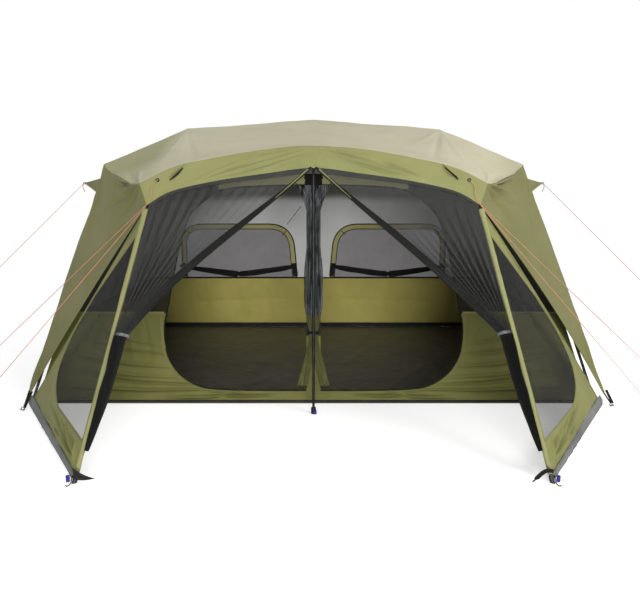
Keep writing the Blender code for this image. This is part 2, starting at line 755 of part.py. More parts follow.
def fly_ridge(end):
    """The right-hand ridge of the flysheet, from over the hub to over the elbow."""
    outward = -1 if end == "front" else 1
    foot, elbow, knuckle = leg_points(1, end)
    over_hub = Vector((0.0, MIDDLE_Y, TENT_HEIGHT))
    over_knuckle = knuckle + Vector((0.0, 0.0, FLY_RISE))
    over_elbow = elbow + Vector((ELBOW_FLY_OUT, outward * ELBOW_FLY_OUT, FLY_RISE))
    return spread([over_hub, over_knuckle, over_elbow], (sum(RIDGE_COLUMNS[:3]), RIDGE_COLUMNS[3]))


def fly_curve(end, curve, corner_x, corner_z, y):
    """A curve of the flysheet, on the porch's front plane or at this y of the rear."""
    places = [(corner_x * share, corner_z + rise) for share, rise in curve]
    if end == "front":
        points = [front_plane(x, z) for x, z in places]
    else:
        points = [Vector((x, y, z)) for x, z in places]
    return spread(points, RIDGE_COLUMNS)


def fly_crease(end):
    """The bend between the roof and the brow, from the middle to its corner."""
    if end == "front":
        corner = (PORCH_TOP_X + FRONT_CREASE_OUT, PORCH_TOP_Z + FRONT_CREASE_RISE)
        return fly_curve(end, FRONT_CREASE_CURVE, *corner, 0.0)
    corner = (ELBOW_X - REAR_CREASE_IN, ELBOW_Z - REAR_CREASE_DROP)
    return fly_curve(end, REAR_CREASE_CURVE, *corner, REAR_LEG_Y - REAR_CREASE_INSET)


def fly_brow(end):
    """The lower edge of the brow, from the middle to its corner."""
    if end == "front":
        return fly_curve(end, FRONT_BROW_CURVE, PORCH_TOP_X, PORCH_TOP_Z, 0.0)
    corner = (ELBOW_X - REAR_BROW_IN, ELBOW_Z - REAR_BROW_DROP)
    return fly_curve(end, REAR_BROW_CURVE, *corner, REAR_LEG_Y - REAR_BROW_INSET)


def wing_tips(end):
    """The wing's tip under the ridge, and its front and side corners beside it."""
    outward = -1 if end == "front" else 1
    base_y = FRONT_LEG_Y if end == "front" else REAR_LEG_Y
    tip = Vector((LEG_BASE_X + WING_TIP_BESIDE, base_y + outward * WING_TIP_OUT, WING_TIP_Z))
    on_end = tip + Vector((-WING_TIP_WIDTH, outward * WING_TIP_ROUND, 0.0))
    on_side = tip + Vector((-WING_TIP_NOTCH, -outward * WING_TIP_WIDTH, 0.0))
    return tip, on_end, on_side


def fly_end(form, end, eave):
    """The roof's end panel, the brow and the two faces of the corner wing."""
    ridge = fly_ridge(end)
    crease = fly_crease(end)
    brow = fly_brow(end)
    roof = web(ridge, crease, ROOF_ROWS, ROOF_SAG)
    face = web(crease, brow, BROW_ROWS, 0.0)
    add_web(form, roof)
    add_web(form, face)

    tip, on_end, on_side = wing_tips(end)
    top_row = [row[-1] for row in roof]
    brow_corner = [row[-1] for row in face]
    edge = brow_corner[-1]
    ridge_top = ridge[-1]
    inward = ((ridge_top.lerp(tip, 0.5)) - edge.lerp(on_end, 0.5)).normalized() * WING_HOLLOW
    front_edge = brow_corner[:-1] + hollow_edge(edge, on_end, WING_ROWS, inward)
    lengths = [0.0]
    for first, second in zip(front_edge, front_edge[1:]):
        lengths.append(lengths[-1] + (second - first).length)
    shares = [length / lengths[-1] for length in lengths]
    ridge_line = [ridge_top.lerp(tip, share) for share in shares]
    wing = [top_row]
    for near, far in zip(ridge_line[1:], front_edge[1:]):
        wing.append([near.lerp(far, k / ROOF_ROWS) for k in range(ROOF_ROWS + 1)])
    add_web(form, wing)

    start = eave[:AWNING_START + 1]
    side_pull = (ridge_top.lerp(tip, 0.5) - start[-1].lerp(on_side, 0.5)).normalized() * WING_HOLLOW
    side_top = start[-1]
    flank = [start]
    for share, near in zip(shares[1:], ridge_line[1:]):
        far = side_top.lerp(on_side, share) + side_pull * (4 * share * (1 - share))
        flank.append([near.lerp(far, k / AWNING_START) for k in range(AWNING_START + 1)])
    add_web(form, flank)


def fly_form():
    """The right half of the flysheet's outside: roof, brows, wings and awning as one sheet."""
    form = bmesh.new()
    front, rear = fly_ridge("front"), fly_ridge("rear")
    side = []
    for row in range(SIDE_ROWS + 1):
        share = row / SIDE_ROWS
        bend = 4 * share * (1 - share)
        line = []
        for k, (a, b) in enumerate(zip(front, rear)):
            drop = EAVE_SAG * bend * k / (len(front) - 1)
            line.append(a.lerp(b, share) - Vector((0.0, 0.0, drop)))
        side.append(line)
    add_web(form, side)
    eave = [row[-1] for row in side]
    awning = eave[AWNING_START:SIDE_ROWS - AWNING_START + 1]
    half = (len(awning) - 1) // 2
    outer = spread([awning[0], AWNING_TIP, awning[-1]], (half, half))
    add_web(form, web(awning, outer, 2, 0.0))
    fly_end(form, "front", eave)
    fly_end(form, "rear", eave[::-1])
    bmesh.ops.remove_doubles(form, verts=form.verts, dist=0.00002)
    bmesh.ops.recalc_face_normals(form, faces=form.faces)
    top = max(form.faces, key=lambda face: face.calc_center_median().z)
    if top.normal.z < 0:
        bmesh.ops.reverse_faces(form, faces=form.faces)
    return form


def build_flysheet(form):
    """The whole flysheet: the right half is mirrored and given its thickness."""
    fly = add_mesh("flysheet", form, ROOF_CLOTH)
    mirror = fly.modifiers.new("mirror", "MIRROR")
    mirror.merge_threshold = 0.00002
    skin = fly.modifiers.new("skin", "SOLIDIFY")
    skin.thickness = FLY_THICKNESS
    skin.offset = -1.0


def brow_point(share):
    """A point of the front brow's lower edge, from 0 in the middle to 1 at the corner."""
    edge = fly_brow("front")
    place = share * (len(edge) - 1)
    k = min(int(place), len(edge) - 2)
    return edge[k].lerp(edge[k + 1], place - k)


def curtain_grid():
    """The right-hand porch door's cloth: a fan from the brow to the tie, then a bundle down the pole."""
    columns = 3 * sum(RIDGE_COLUMNS)
    foot, top = porch_pole_line(1)
    out = Vector((0.0, -1.0, FRONT_SLOPE)).normalized()
    along = (top - foot).normalized()
    inward = out.cross(along)
    if inward.x > 0:
        inward = -inward
    beside = PORCH_POLE_RADIUS + SLEEVE_GAP + SLEEVE_WALL + CURTAIN_HANG_GAP
    hang = Vector((0.0, -FRONT_SLOPE, -1.0)).normalized() * CURTAIN_HANG_GAP

    def pole_side(z):
        return foot + along * (z / along.z) + inward * beside

    def row(outer, inner, amplitude):
        points = []
        for column in range(columns + 1):
            share = column / columns
            window = min(1.0, share / CURTAIN_FLAT_EDGE, (1 - share) / CURTAIN_FLAT_EDGE)
            fold = math.sin(2 * math.pi * CURTAIN_FOLDS * share) * amplitude * window
            points.append(inner.lerp(outer, share) + out * fold)
        return points

    corner_step = (brow_point(1.0) - brow_point(1.0 - 3 / columns)).length
    shares = [CURTAIN_START / columns] + [column / columns for column in range(1, columns)]
    shares.append(1.0 - beside * CURTAIN_CORNER / corner_step * 3 / columns)
    top_row = [brow_point(share) + hang for share in shares]
    tie_outer = pole_side(CURTAIN_TIE_Z)
    tie_inner = tie_outer + inward * CURTAIN_TIE_WIDTH
    tie_row = row(tie_outer, tie_inner, 0.0)
    rows = []
    for step in range(CURTAIN_FAN_ROWS + 1):
        share = step / CURTAIN_FAN_ROWS
        amplitude = CURTAIN_FOLD_DEPTH * share
        folds = row(tie_outer, tie_inner, amplitude)
        rows.append([a.lerp(b, share) + (c - b) for a, b, c in zip(top_row, tie_row, folds)])
    for step in range(1, CURTAIN_BUNDLE_ROWS + 1):
        share = step / CURTAIN_BUNDLE_ROWS
        z = CURTAIN_TIE_Z + (CURTAIN_END_Z - CURTAIN_TIE_Z) * share
        swell = math.sin(math.pi * min(1.0, share * CURTAIN_SWELL_TURN))
        width = CURTAIN_TIE_WIDTH + (CURTAIN_END_WIDTH - CURTAIN_TIE_WIDTH) * share
        width += (CURTAIN_BUNDLE_WIDTH - CURTAIN_END_WIDTH) * swell * share
        outer = pole_side(z)
        rows.append(row(outer, outer + inward * width, CURTAIN_FOLD_DEPTH * (1 - share / 2)))
    return rows


def build_curtain(name, side):
    rows = [[Vector((side * p.x, p.y, p.z)) for p in row] for row in curtain_grid()]
    form = bmesh.new()
    add_web(form, rows)
    bmesh.ops.remove_doubles(form, verts=form.verts, dist=0.00002)
    bmesh.ops.recalc_face_normals(form, faces=form.faces)
    curtain = add_mesh(f"porch_door_{name}", form, MESH_CLOTH)
    skin = curtain.modifiers.new("skin", "SOLIDIFY")
    skin.thickness = CURTAIN_THICKNESS
    skin.offset = 0.0


def build_zip_slider(name, side):
    """A zip slider on the porch door's free edge: its body and its pull."""
    rows = curtain_grid()
    top, tie = rows[0][0], rows[CURTAIN_FAN_ROWS][0]
    down = (tie - top).normalized()
    out = Vector((0.0, -1.0, FRONT_SLOPE)).normalized()
    beyond = down.cross(out)
    if beyond.x > 0:
        beyond = -beyond
    centre = top + down * ZIP_START + beyond * (ZIP_SLIDER_WIDTH / 2 + SEAT_GAP * 2)
    form = bmesh.new()
    body = bmesh.ops.create_cube(form, size=1.0)["verts"]
    bmesh.ops.scale(form, verts=body, vec=(ZIP_SLIDER_WIDTH, ZIP_SLIDER_LENGTH, ZIP_SLIDER_HEIGHT))
    slider = add_mesh(f"porch_zip_slider_{name}", form, BLACK_PLASTIC)
    form = bmesh.new()
    bmesh.ops.create_cube(form, size=1.0)
    bmesh.ops.scale(form, verts=form.verts, vec=(ZIP_SLIDER_WIDTH / 2, ZIP_PULL_LENGTH, ZIP_SLIDER_HEIGHT / 3))
    bmesh.ops.translate(form, verts=form.verts, vec=(0.0, ZIP_PULL_LENGTH / 2, ZIP_SLIDER_HEIGHT / 2))
    pull = add_mesh(f"zip_pull_{name}", form, None, "cutters")
    combine(slider, pull, "UNION")
    mirror = Matrix.Diagonal((side, 1.0, 1.0, 1.0))
    place = mirror @ wall_frame(centre, down.cross(out), down) @ mirror
    slider.matrix_world = place
    pull.matrix_world = place


def bundle(name, stations, across, deep, material):
    """Rolled cloth: lobed sections along a path. A station is a centre and a largest radius."""
    form = bmesh.new()
    rings = []
    for order, (centre, radius) in enumerate(stations):
        ring = []
        for k in range(BUNDLE_SIDES):
            angle = 2 * math.pi * k / BUNDLE_SIDES
            wave = 0.5 + 0.5 * math.cos(BUNDLE_LOBES * angle + order * BUNDLE_TWIST)
            reach = radius * (1 - BUNDLE_LOBE_DEPTH * wave)
            point = centre + across * (reach * math.cos(angle)) + deep * (reach * math.sin(angle))
            ring.append(form.verts.new(point))
        rings.append(ring)
    for lower, upper in zip(rings, rings[1:]):
        for k in range(BUNDLE_SIDES):
            n = (k + 1) % BUNDLE_SIDES
            form.faces.new((lower[k], lower[n], upper[n], upper[k]))
    form.faces.new(rings[0])
    form.faces.new(rings[-1])
    bmesh.ops.recalc_face_normals(form, faces=form.faces)
    return add_mesh(name, form, material)


def build_cabin_door(name, side):
    stations = []
    for z, radius, out in CABIN_DOOR_STATIONS:
        x = side * (radius + SEAT_GAP + out)
        back = (radius + WALL_THICKNESS / 2 + SEAT_GAP) * math.hypot(1.0, END_LEAN)
        stations.append((Vector((x, end_wall_y("front", z) - back, z)), radius))
    bundle(f"cabin_door_{name}", stations, Vector((1, 0, 0)), Vector((0, 1, 0)), MESH_CLOTH)


def build_window_cover(name, side):
    stations = []
    for x, z, radius in WINDOW_COVER_STATIONS:
        back = (radius + WALL_THICKNESS / 2 + SEAT_GAP) * math.hypot(1.0, END_LEAN)
        stations.append((Vector((side * x, end_wall_y("rear", z) - back, z)), radius))
    bundle(f"rear_window_cover_{name}", stations, Vector((0, 1, 0)), Vector((0, 0, 1)), MESH_CLOTH)


def guy_lines():
    """Name, start and peg end of each right-hand guy line."""
    lines = []
    for kind, corner, offset, reach in (
        ("awning", AWNING_TIP, AWNING_GUY_START, AWNING_PEG_REACH),
        ("side", BROW_CORNER, SIDE_GUY_START, SIDE_PEG_REACH),
        ("front", BROW_CORNER, FRONT_GUY_START, FRONT_PEG_REACH),
    ):
        end = Vector((corner.x + reach[0], corner.y + reach[1], GUY_END_Z))
        lines.append((kind, corner + Vector(offset), end))
    return lines


def wire(name, points, radius, material, resolution=2):
    curve = bpy.data.curves.new(name, "CURVE")
    curve.dimensions = "3D"
    curve.bevel_depth = radius
    curve.bevel_resolution = resolution
    curve.use_fill_caps = True
    curve.render_resolution_u = 0
    spline = curve.splines.new("POLY")
    spline.points.add(len(points) - 1)
    for point, place in zip(spline.points, points):
        point.co = (*place, 1.0)
    return add_object(name, curve, material)


def build_guy_line(kind, start, end, name, side):
    start = Vector((side * start.x, start.y, start.z))
    end = Vector((side * end.x, end.y, end.z))
    along = (end - start).normalized()
    wire(f"guy_line_{kind}_{name}", spread([start, end], (GUY_POINTS - 1,)), GUY_RADIUS, CORD_PINK)

    centre = end - along * RUNNER_FROM_PEG
    form = bmesh.new()
    bmesh.ops.create_cube(form, size=1.0)
    bmesh.ops.scale(form, verts=form.verts, vec=(RUNNER_WIDTH, RUNNER_DEPTH, RUNNER_LENGTH))
    runner = add_mesh(f"guy_runner_{kind}_{name}", form, BLACK_PLASTIC)
    aim(runner, centre, centre + along)
    bore = cutter_rod(
        f"runner_bore_{kind}_{name}",
        centre - along * RUNNER_LENGTH,
        centre + along * RUNNER_LENGTH,
        GUY_RADIUS + RUNNER_BORE_GAP,
        steps=12,
    )
    combine(runner, bore, "DIFFERENCE")

    flat = Vector((along.x, along.y, 0.0)).normalized()
    aside = Vector((-flat.y, flat.x, 0.0)) * side
    height = PEG_RADIUS + SEAT_GAP
    hook_centre = Vector((end.x, end.y, height)) + flat * (PEG_RADIUS + SEAT_GAP * 2 - PEG_HOOK_RADIUS)
    points = []
    for step in range(PEG_HOOK_STEPS + 1):
        angle = math.radians(PEG_HOOK_START + PEG_HOOK_TURN * step / PEG_HOOK_STEPS)
        points.append(hook_centre + (flat * math.cos(angle) + aside * math.sin(angle)) * PEG_HOOK_RADIUS)
    points.append(points[-1] + flat * PEG_LENGTH)
    wire(f"guy_peg_{kind}_{name}", points, PEG_RADIUS, PEG_STEEL, resolution=1)


def build_tent(roof_form):
    build_groundsheet()
    build_end_wall("cabin_wall_front", "front", (-1, 1))
    build_end_wall("cabin_wall_rear", "rear", ())
    build_hub()
    build_centre_pole()
    build_flysheet(roof_form)
    for name, side in SIDES.items():
        build_side_wall(name, side)
        build_porch_pole(name, side)
        build_porch_side(name, side)
        build_curtain(name, side)
        build_zip_slider(name, side)
        build_cabin_door(name, side)
        build_window_cover(name, side)
        for end in ENDS:
            build_roof_rods(name, side, end)
            build_leg(name, side, end)
        for kind, start, end_point in guy_lines():
            build_guy_line(kind, start, end_point, name, side)


ROOF_FORM = fly_form()
ROOF = BVHTree.FromBMesh(ROOF_FORM)
build_tent(ROOF_FORM)
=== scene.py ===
"""The looks of the family tent: its cloth, mesh, webbing and fittings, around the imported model."""
import math

import bmesh
import bpy
import numpy as np
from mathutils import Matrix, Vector, kdtree, noise
from mathutils.bvhtree import BVHTree


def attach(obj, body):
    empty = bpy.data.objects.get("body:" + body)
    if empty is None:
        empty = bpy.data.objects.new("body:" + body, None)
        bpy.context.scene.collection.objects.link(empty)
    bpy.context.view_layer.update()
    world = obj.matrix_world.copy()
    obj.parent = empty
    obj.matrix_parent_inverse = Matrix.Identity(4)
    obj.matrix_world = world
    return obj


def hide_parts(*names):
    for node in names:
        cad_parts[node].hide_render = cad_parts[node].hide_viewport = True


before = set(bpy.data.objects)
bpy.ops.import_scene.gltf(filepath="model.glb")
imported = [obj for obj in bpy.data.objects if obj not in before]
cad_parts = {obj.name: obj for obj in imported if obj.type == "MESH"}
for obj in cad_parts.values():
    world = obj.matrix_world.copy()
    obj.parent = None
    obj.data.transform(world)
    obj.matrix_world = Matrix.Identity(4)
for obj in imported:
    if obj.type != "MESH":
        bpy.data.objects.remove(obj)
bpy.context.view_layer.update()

SIDES = {"left": -1, "right": 1}
OUTWARD = {"front": -1, "rear": 1}
UP = Vector((0.0, 0.0, 1.0))
RIGHT = Vector((1.0, 0.0, 0.0))

# The model's own sizes, in metres
MIDDLE_Y = 0.66
TENT_HEIGHT = 2.29
LEG_X = 2.165
LEG_Y = {"front": -0.815, "rear": 2.135}
ELBOW_X, ELBOW_INSET, ELBOW_Z = 1.59, 0.33, 1.79
KNUCKLE_X, KNUCKLE_INSET, KNUCKLE_Z = 1.05, 0.735, 2.10
FLOOR_TOP = 0.0033
WALL_INSET = 0.030
WALL_FOOT, WALL_TOP = 0.006, 1.74
END_LEAN = ELBOW_INSET / (ELBOW_Z - FLOOR_TOP)
SIDE_LEAN = (LEG_X - ELBOW_X) / (ELBOW_Z - FLOOR_TOP)
ROOF_GAP = 0.045
PORCH_FOOT = Vector((1.32, -2.18, 0.0))
PORCH_TOP = Vector((1.085, -1.32, 1.507))
PORCH_REAR = Vector((2.19, -0.885, 0.0))
# The left front corner is pitched a little straighter and further in than the right one
PORCH_EDGE_BOW = {"left": 0.006, "right": 0.046}
PORCH_TOE_SHIFT = {"left": -0.035, "right": 0.0}
WING_HOLLOW = {"left": 0.030, "right": 0.080}
WING_TIP_SHIFT = {"left": -0.050, "right": 0.0}
# The porch's front plane: its slope, and the directions out of it and down along it
FRONT_SLOPE = (PORCH_TOP.y - PORCH_FOOT.y) / PORCH_TOP.z
FRONT_OUT = Vector((0.0, -1.0, FRONT_SLOPE)).normalized()
FRONT_DOWN = Vector((0.0, -FRONT_SLOPE, -1.0)).normalized()
AWNING_TIP = Vector((2.205, MIDDLE_Y, 1.70))

# Curves of the roof: how far along to the corner, and the rise over the corner
FRONT_CREASE = ((0.0, 0.250), (0.29, 0.228), (0.57, 0.173), (0.81, 0.108), (1.0, 0.0))
FRONT_BROW = ((0.0, 0.243), (0.30, 0.205), (0.60, 0.156), (0.86, 0.089), (1.0, 0.0))
REAR_CREASE = ((0.0, 0.170), (0.26, 0.155), (0.51, 0.125), (0.73, 0.090), (1.0, 0.0))
REAR_BROW = ((0.0, 0.150), (0.27, 0.140), (0.53, 0.115), (0.76, 0.080), (1.0, 0.0))
COLUMNS = (32, 32, 16, 36)
ROOF_ROWS = 40
BROW_ROWS = 26
WING_ROWS = 96
SIDE_ROWS = 80
AWNING_START = 20

# The doorway's outline in the right half of the cabin's front wall: x and z
DOORWAY = (
    (0.055, 1.650), (0.350, 1.645), (0.640, 1.625), (0.800, 1.565), (0.905, 1.480), (0.970, 1.395),
    (1.040, 1.170), (1.085, 0.950), (1.115, 0.780), (1.135, 0.670), (1.152, 0.550), (1.128, 0.360),
    (1.035, 0.215), (0.890, 0.125), (0.720, 0.098), (0.400, 0.090), (0.055, 0.090),
)
COLUMN_HALF = 0.055
WALL_SEAM_Z = 0.67
COLUMN_DARK_Z = 0.50
REAR_SEAM_Z = 0.618
SILL_Z = 0.624
WINDOW_CORNERS = [(0.250, SILL_Z), (1.510, SILL_Z), (1.490, 1.205), (0.300, 1.205)]
WINDOW_RADII = (0.0, 0.0, 0.20, 0.24)
WINDOW_FRAME_WIDE = 0.058
WINDOW_STEPS = 200

# Points closer than these become one: in plain cloth, and in gathered cloth
WELD_GAP = 0.0004
FINE_GAP = 0.0001
# The ripstop grid's pitch in threads, the points round a rounded corner and across a fold
RIPSTOP_THREADS = 6.0
CORNER_STEPS = 10
FOLD_COLUMNS = 6


def smoothstep(low, high, value):
    t = min(1.0, max(0.0, (value - low) / (high - low)))
    return t * t * (3 - 2 * t)


def arch(share):
    """Rises from 0 to 1 in the middle and falls back."""
    return 4 * share * (1 - share)


def linear(colour):
    """A colour as seen, from 0 to 255, in Blender's linear units."""
    return tuple(c / 255 / 12.92 if c <= 10.3 else ((c / 255 + 0.055) / 1.055) ** 2.4 for c in colour)


class Nodes:
    """A short way to write the nodes of a new material, or of the world."""

    def __init__(self, name, world=None):
        self.owner = world or bpy.data.materials.new(name)
        self.owner.use_nodes = True
        self.tree = self.owner.node_tree
        if not world:
            self.shader = self.tree.nodes["Principled BSDF"]
            self.place = self.add("ShaderNodeTexCoord").outputs["Object"]

    def add(self, kind, **values):
        node = self.tree.nodes.new(kind)
        for key, value in values.items():
            if hasattr(node, key):
                setattr(node, key, value)
            else:
                node.inputs[key.replace("_", " ")].default_value = value
        return node

    def link(self, source, target):
        self.tree.links.new(source, target)

    def set(self, **values):
        """Constant values on the shader's own sockets."""
        for key, value in values.items():
            self.shader.inputs[key.replace("_", " ")].default_value = value

    def drive(self, socket, source):
        self.link(source, self.shader.inputs[socket])

    def mapped(self, scale, turn=(0.0, 0.0, 0.0)):
        node = self.add("ShaderNodeMapping", Scale=scale, Rotation=turn)
        self.link(self.place, node.inputs["Vector"])
        return node.outputs["Vector"]

    def noise(self, scale, detail=3.0, rough=0.55, vector=None):
        node = self.add("ShaderNodeTexNoise", Scale=scale, Detail=detail, Roughness=rough)
        self.link(vector or self.place, node.inputs["Vector"])
        return node.outputs["Fac"]

    def ramp(self, value, low, high):
        node = self.add("ShaderNodeMapRange", From_Min=low, From_Max=high)
        self.link(value, node.inputs["Value"])
        return node.outputs["Result"]

    def mix(self, value, first, second):
        node = self.add("ShaderNodeMix", data_type="RGBA")
        for socket, colour in ((node.inputs["A"], first), (node.inputs["B"], second)):
            if isinstance(colour, tuple):
                socket.default_value = (*colour, 1.0)
            else:
                self.link(colour, socket)
        self.link(value, node.inputs["Factor"])
        return node.outputs["Result"]

    def math(self, operation, first, second):
        node = self.add("ShaderNodeMath", operation=operation)
        for socket, value in zip(node.inputs, (first, second)):
            if isinstance(value, (int, float)):
                socket.default_value = value
            else:
                self.link(value, socket)
        return node.outputs["Value"]

    def join(self, kind, *sources):
        """A node that mixes or adds shaders, with its sources linked in order."""
        node = self.add(kind)
        for socket, source in zip(node.inputs, sources):
            self.link(source, socket)
        return node.outputs["Shader"]

    def bump(self, height, distance):
        node = self.add("ShaderNodeBump", Strength=1.0, Distance=distance)
        self.link(height, node.inputs["Height"])
        last = self.shader.inputs["Normal"]
        if last.is_linked:
            self.link(last.links[0].from_socket, node.inputs["Normal"])
        self.link(node.outputs["Normal"], last)


def weave(nodes, pitch, depth):
    """The threads of a plain weave, and a ripstop grid of thicker ones."""
    heights = []
    for turn in ((0.0, 0.0, 0.0), (0.0, 0.0, math.pi / 2)):
        for share in (1.0, RIPSTOP_THREADS):
            wave = nodes.add("ShaderNodeTexWave", Scale=0.314 / (pitch * share), Distortion=0.4)
            nodes.link(nodes.mapped((1.0, 1.0, 0.82), turn), wave.inputs["Vector"])
            heights.append(wave.outputs["Fac"])
    total = nodes.math("ADD", heights[0], heights[2])
    ribs = nodes.math("MAXIMUM", nodes.math("POWER", heights[1], 8), nodes.math("POWER", heights[3], 8))
    nodes.bump(nodes.math("ADD", total, ribs), depth)


def cloth(name, colour, shade, rough=0.72, crumple=0.0012, painted_light=None, gloss=0.22):
    """Coated polyester: a colour that drifts to a second one, threads, and fine crumples."""
    nodes = Nodes(name)
    drift = nodes.ramp(nodes.noise(2.2, 4.0), 0.35, 0.68)
    result = nodes.mix(drift, linear(colour), linear(shade))
    # A second pair of colours, blended in by a point attribute, paints light and shade on the cloth.
    if painted_light:
        share = nodes.add("ShaderNodeAttribute", attribute_name="painted_light").outputs["Fac"]
        result = nodes.mix(share, result, nodes.mix(drift, *map(linear, painted_light)))
    speck = nodes.ramp(nodes.noise(260.0, 2.0), 0.2, 0.8)
    nodes.drive("Base Color", nodes.mix(nodes.math("MULTIPLY", speck, 0.10), result, (0.02, 0.02, 0.015)))
    patches = nodes.math("MULTIPLY", nodes.noise(7.0, 3.0), 0.16)
    nodes.drive("Roughness", nodes.math("ADD", patches, rough - 0.08))
    nodes.set(Specular_IOR_Level=gloss, Sheen_Weight=0.04)
    nodes.bump(nodes.noise(9.0, 6.0, 0.62), crumple * 6)
    nodes.bump(nodes.noise(34.0, 4.0, 0.6), crumple)
    weave(nodes, 0.0011, 0.000132)
    return nodes.owner


def netting(name, colour, shade, alpha, painted_fold_streaks=False, gloss=0.2, sheen=0.05, rough=0.85):
    """See-through mesh cloth: its holes are too small to show one by one, so they thin it evenly."""
    nodes = Nodes(name)
    # Stripes from the first colour to the second along the folds: painted highlights and shade of gathered
    # cloth.
    if painted_fold_streaks:
        drift = nodes.ramp(nodes.noise(1.0, 3.0, vector=nodes.mapped((52.0, 52.0, 1.6))), 0.43, 0.57)
    else:
        drift = nodes.ramp(nodes.noise(5.0, 4.0), 0.3, 0.7)
    nodes.drive("Base Color", nodes.mix(drift, linear(colour), linear(shade)))
    nodes.set(Roughness=rough, Specular_IOR_Level=gloss, Sheen_Weight=sheen, Alpha=alpha)
    nodes.bump(nodes.noise(16.0, 5.0), 0.006)
    weave(nodes, 0.0016, 0.0003)
    return nodes.owner


def webbing(name, colour, shade, rib=0.0016):
    nodes = Nodes(name)
    wave = nodes.add("ShaderNodeTexWave", Scale=0.314 / rib, Distortion=1.0)
    nodes.link(nodes.mapped((1.0, 1.0, 1.0), (0.6, 0.5, 0.3)), wave.inputs["Vector"])
    nodes.drive("Base Color", nodes.mix(wave.outputs["Fac"], linear(colour), linear(shade)))
    nodes.set(Roughness=0.8, Specular_IOR_Level=0.2)
    nodes.bump(wave.outputs["Fac"], rib * 0.3)
    nodes.bump(nodes.noise(60.0, 3.0), 0.0006)
    return nodes.owner


def hard(name, colour, shade, rough, metal=0.0):
    """Metal or moulded plastic, with rubbed patches and a fine grain."""
    nodes = Nodes(name)
    worn = nodes.ramp(nodes.noise(14.0, 5.0, 0.6), 0.45, 0.75)
    nodes.drive("Base Color", nodes.mix(worn, linear(colour), linear(shade)))
    patches = nodes.math("MULTIPLY", nodes.noise(30.0, 4.0), 0.25)
    nodes.drive("Roughness", nodes.math("ADD", patches, rough - 0.12))
    nodes.set(Metallic=metal)
    nodes.bump(nodes.noise(120.0, 3.0), 0.0002)
    return nodes.owner


OLIVE, OLIVE_SHADE = (130, 130, 84), (120, 121, 75)
FLY = cloth("fly_olive", OLIVE, OLIVE_SHADE)
# A darker copy of the fly's olive for the wings and flanks: painted shade.
FLY_SIDE_SHADED = cloth("fly_side_painted_shade", (111, 109, 67), (100, 100, 58))
# Beige roof cloth, with olive blended in by a point attribute as painted shade.
FLY_ROOF = cloth("fly_beige", OLIVE, OLIVE_SHADE, painted_light=((182, 177, 151), (173, 168, 142)))
PORCH_CLOTH = cloth("porch_cloth", (124, 124, 74), (112, 113, 64))
SLEEVE_CLOTH = cloth("sleeve_cloth", (136, 136, 90), (122, 123, 78))
# Olive made darker than the porch side's: painted shade of the porch roof on the cabin walls.
WALL_SHADED = cloth("wall_painted_shade", (104, 104, 55), (93, 93, 47))
# A lighter copy of the olive for the strip over the doorways: painted light where it sits in shade.
TOP_STRIP_LIT = cloth("top_strip_painted_light", (176, 174, 124), (164, 161, 112))
# The walls' olive on its inner face, brighter and yellower: painted light shining through the cloth.
BAND_LIT = cloth("band_painted_light", (184, 173, 95), (168, 160, 84))
# Pale grey liner; its second pair of colours is painted shade for the top strip under the roof.
LINER = cloth("liner_cloth", (228, 229, 227), (218, 219, 216), crumple=0.0018,
              painted_light=((118, 117, 108), (98, 97, 88)))
FRAME_CLOTH = cloth("frame_cloth", (180, 175, 120), (166, 162, 108))
FLOOR = cloth("floor_cloth", (74, 71, 65), (50, 48, 43), rough=0.40, crumple=0.002, gloss=0.6)
BLACK_CLOTH = cloth("black_cloth", (30, 29, 27), (20, 20, 18), crumple=0.002)
GREY_HEM = cloth("hem_cloth", (116, 118, 116), (92, 94, 93), crumple=0.002)
PORCH_MESH = netting("porch_mesh", (32, 33, 32), (18, 19, 18), 0.42, gloss=0.7, sheen=0.13, rough=0.42)
HEADER_MESH = netting("header_mesh", (60, 60, 58), (44, 44, 42), 0.8)
BUNDLE_MESH = netting("bundle_mesh", (20, 20, 18), (10, 10, 9), 0.98)
SIDE_MESH = netting("side_mesh", (18, 19, 16), (11, 12, 10), 0.55)
CABIN_MESH = netting("cabin_mesh", (26, 26, 25), (17, 17, 16), 0.76)
WINDOW_MESH = netting("window_mesh", (112, 105, 108), (98, 93, 95), 0.91)
# Grey mesh striped with near black: painted light and shade on the gathered folds.
DOOR_MESH = netting("door_mesh", (136, 139, 142), (12, 12, 12), 0.92, painted_fold_streaks=True)
STRAP = webbing("strap_black", (12, 12, 11), (22, 22, 20))
ZIP_BAND = webbing("zip_band", (9, 9, 8), (17, 17, 15))
GREY_TIE = webbing("tie_grey", (118, 121, 120), (94, 97, 96))
RED_CORD = webbing("red_cord", (168, 62, 48), (132, 44, 36), rib=0.003)
OLIVE_TAPE = webbing("tape_olive", (128, 127, 80), (112, 111, 68))
BLUE_PATCH = webbing("patch_blue", (62, 60, 150), (44, 42, 116))
GUY = webbing("guy_cord", (206, 148, 124), (178, 112, 92), rib=0.003)
BLACK_STEEL = hard("black_steel", (34, 34, 35), (58, 58, 60), 0.38, 0.7)
ROD = hard("rod_black", (26, 26, 27), (40, 40, 42), 0.42)
PLASTIC = hard("plastic_black", (24, 24, 24), (34, 34, 34), 0.5)
BRIGHT = hard("peg_bright", (176, 178, 180), (140, 142, 145), 0.3, 1.0)

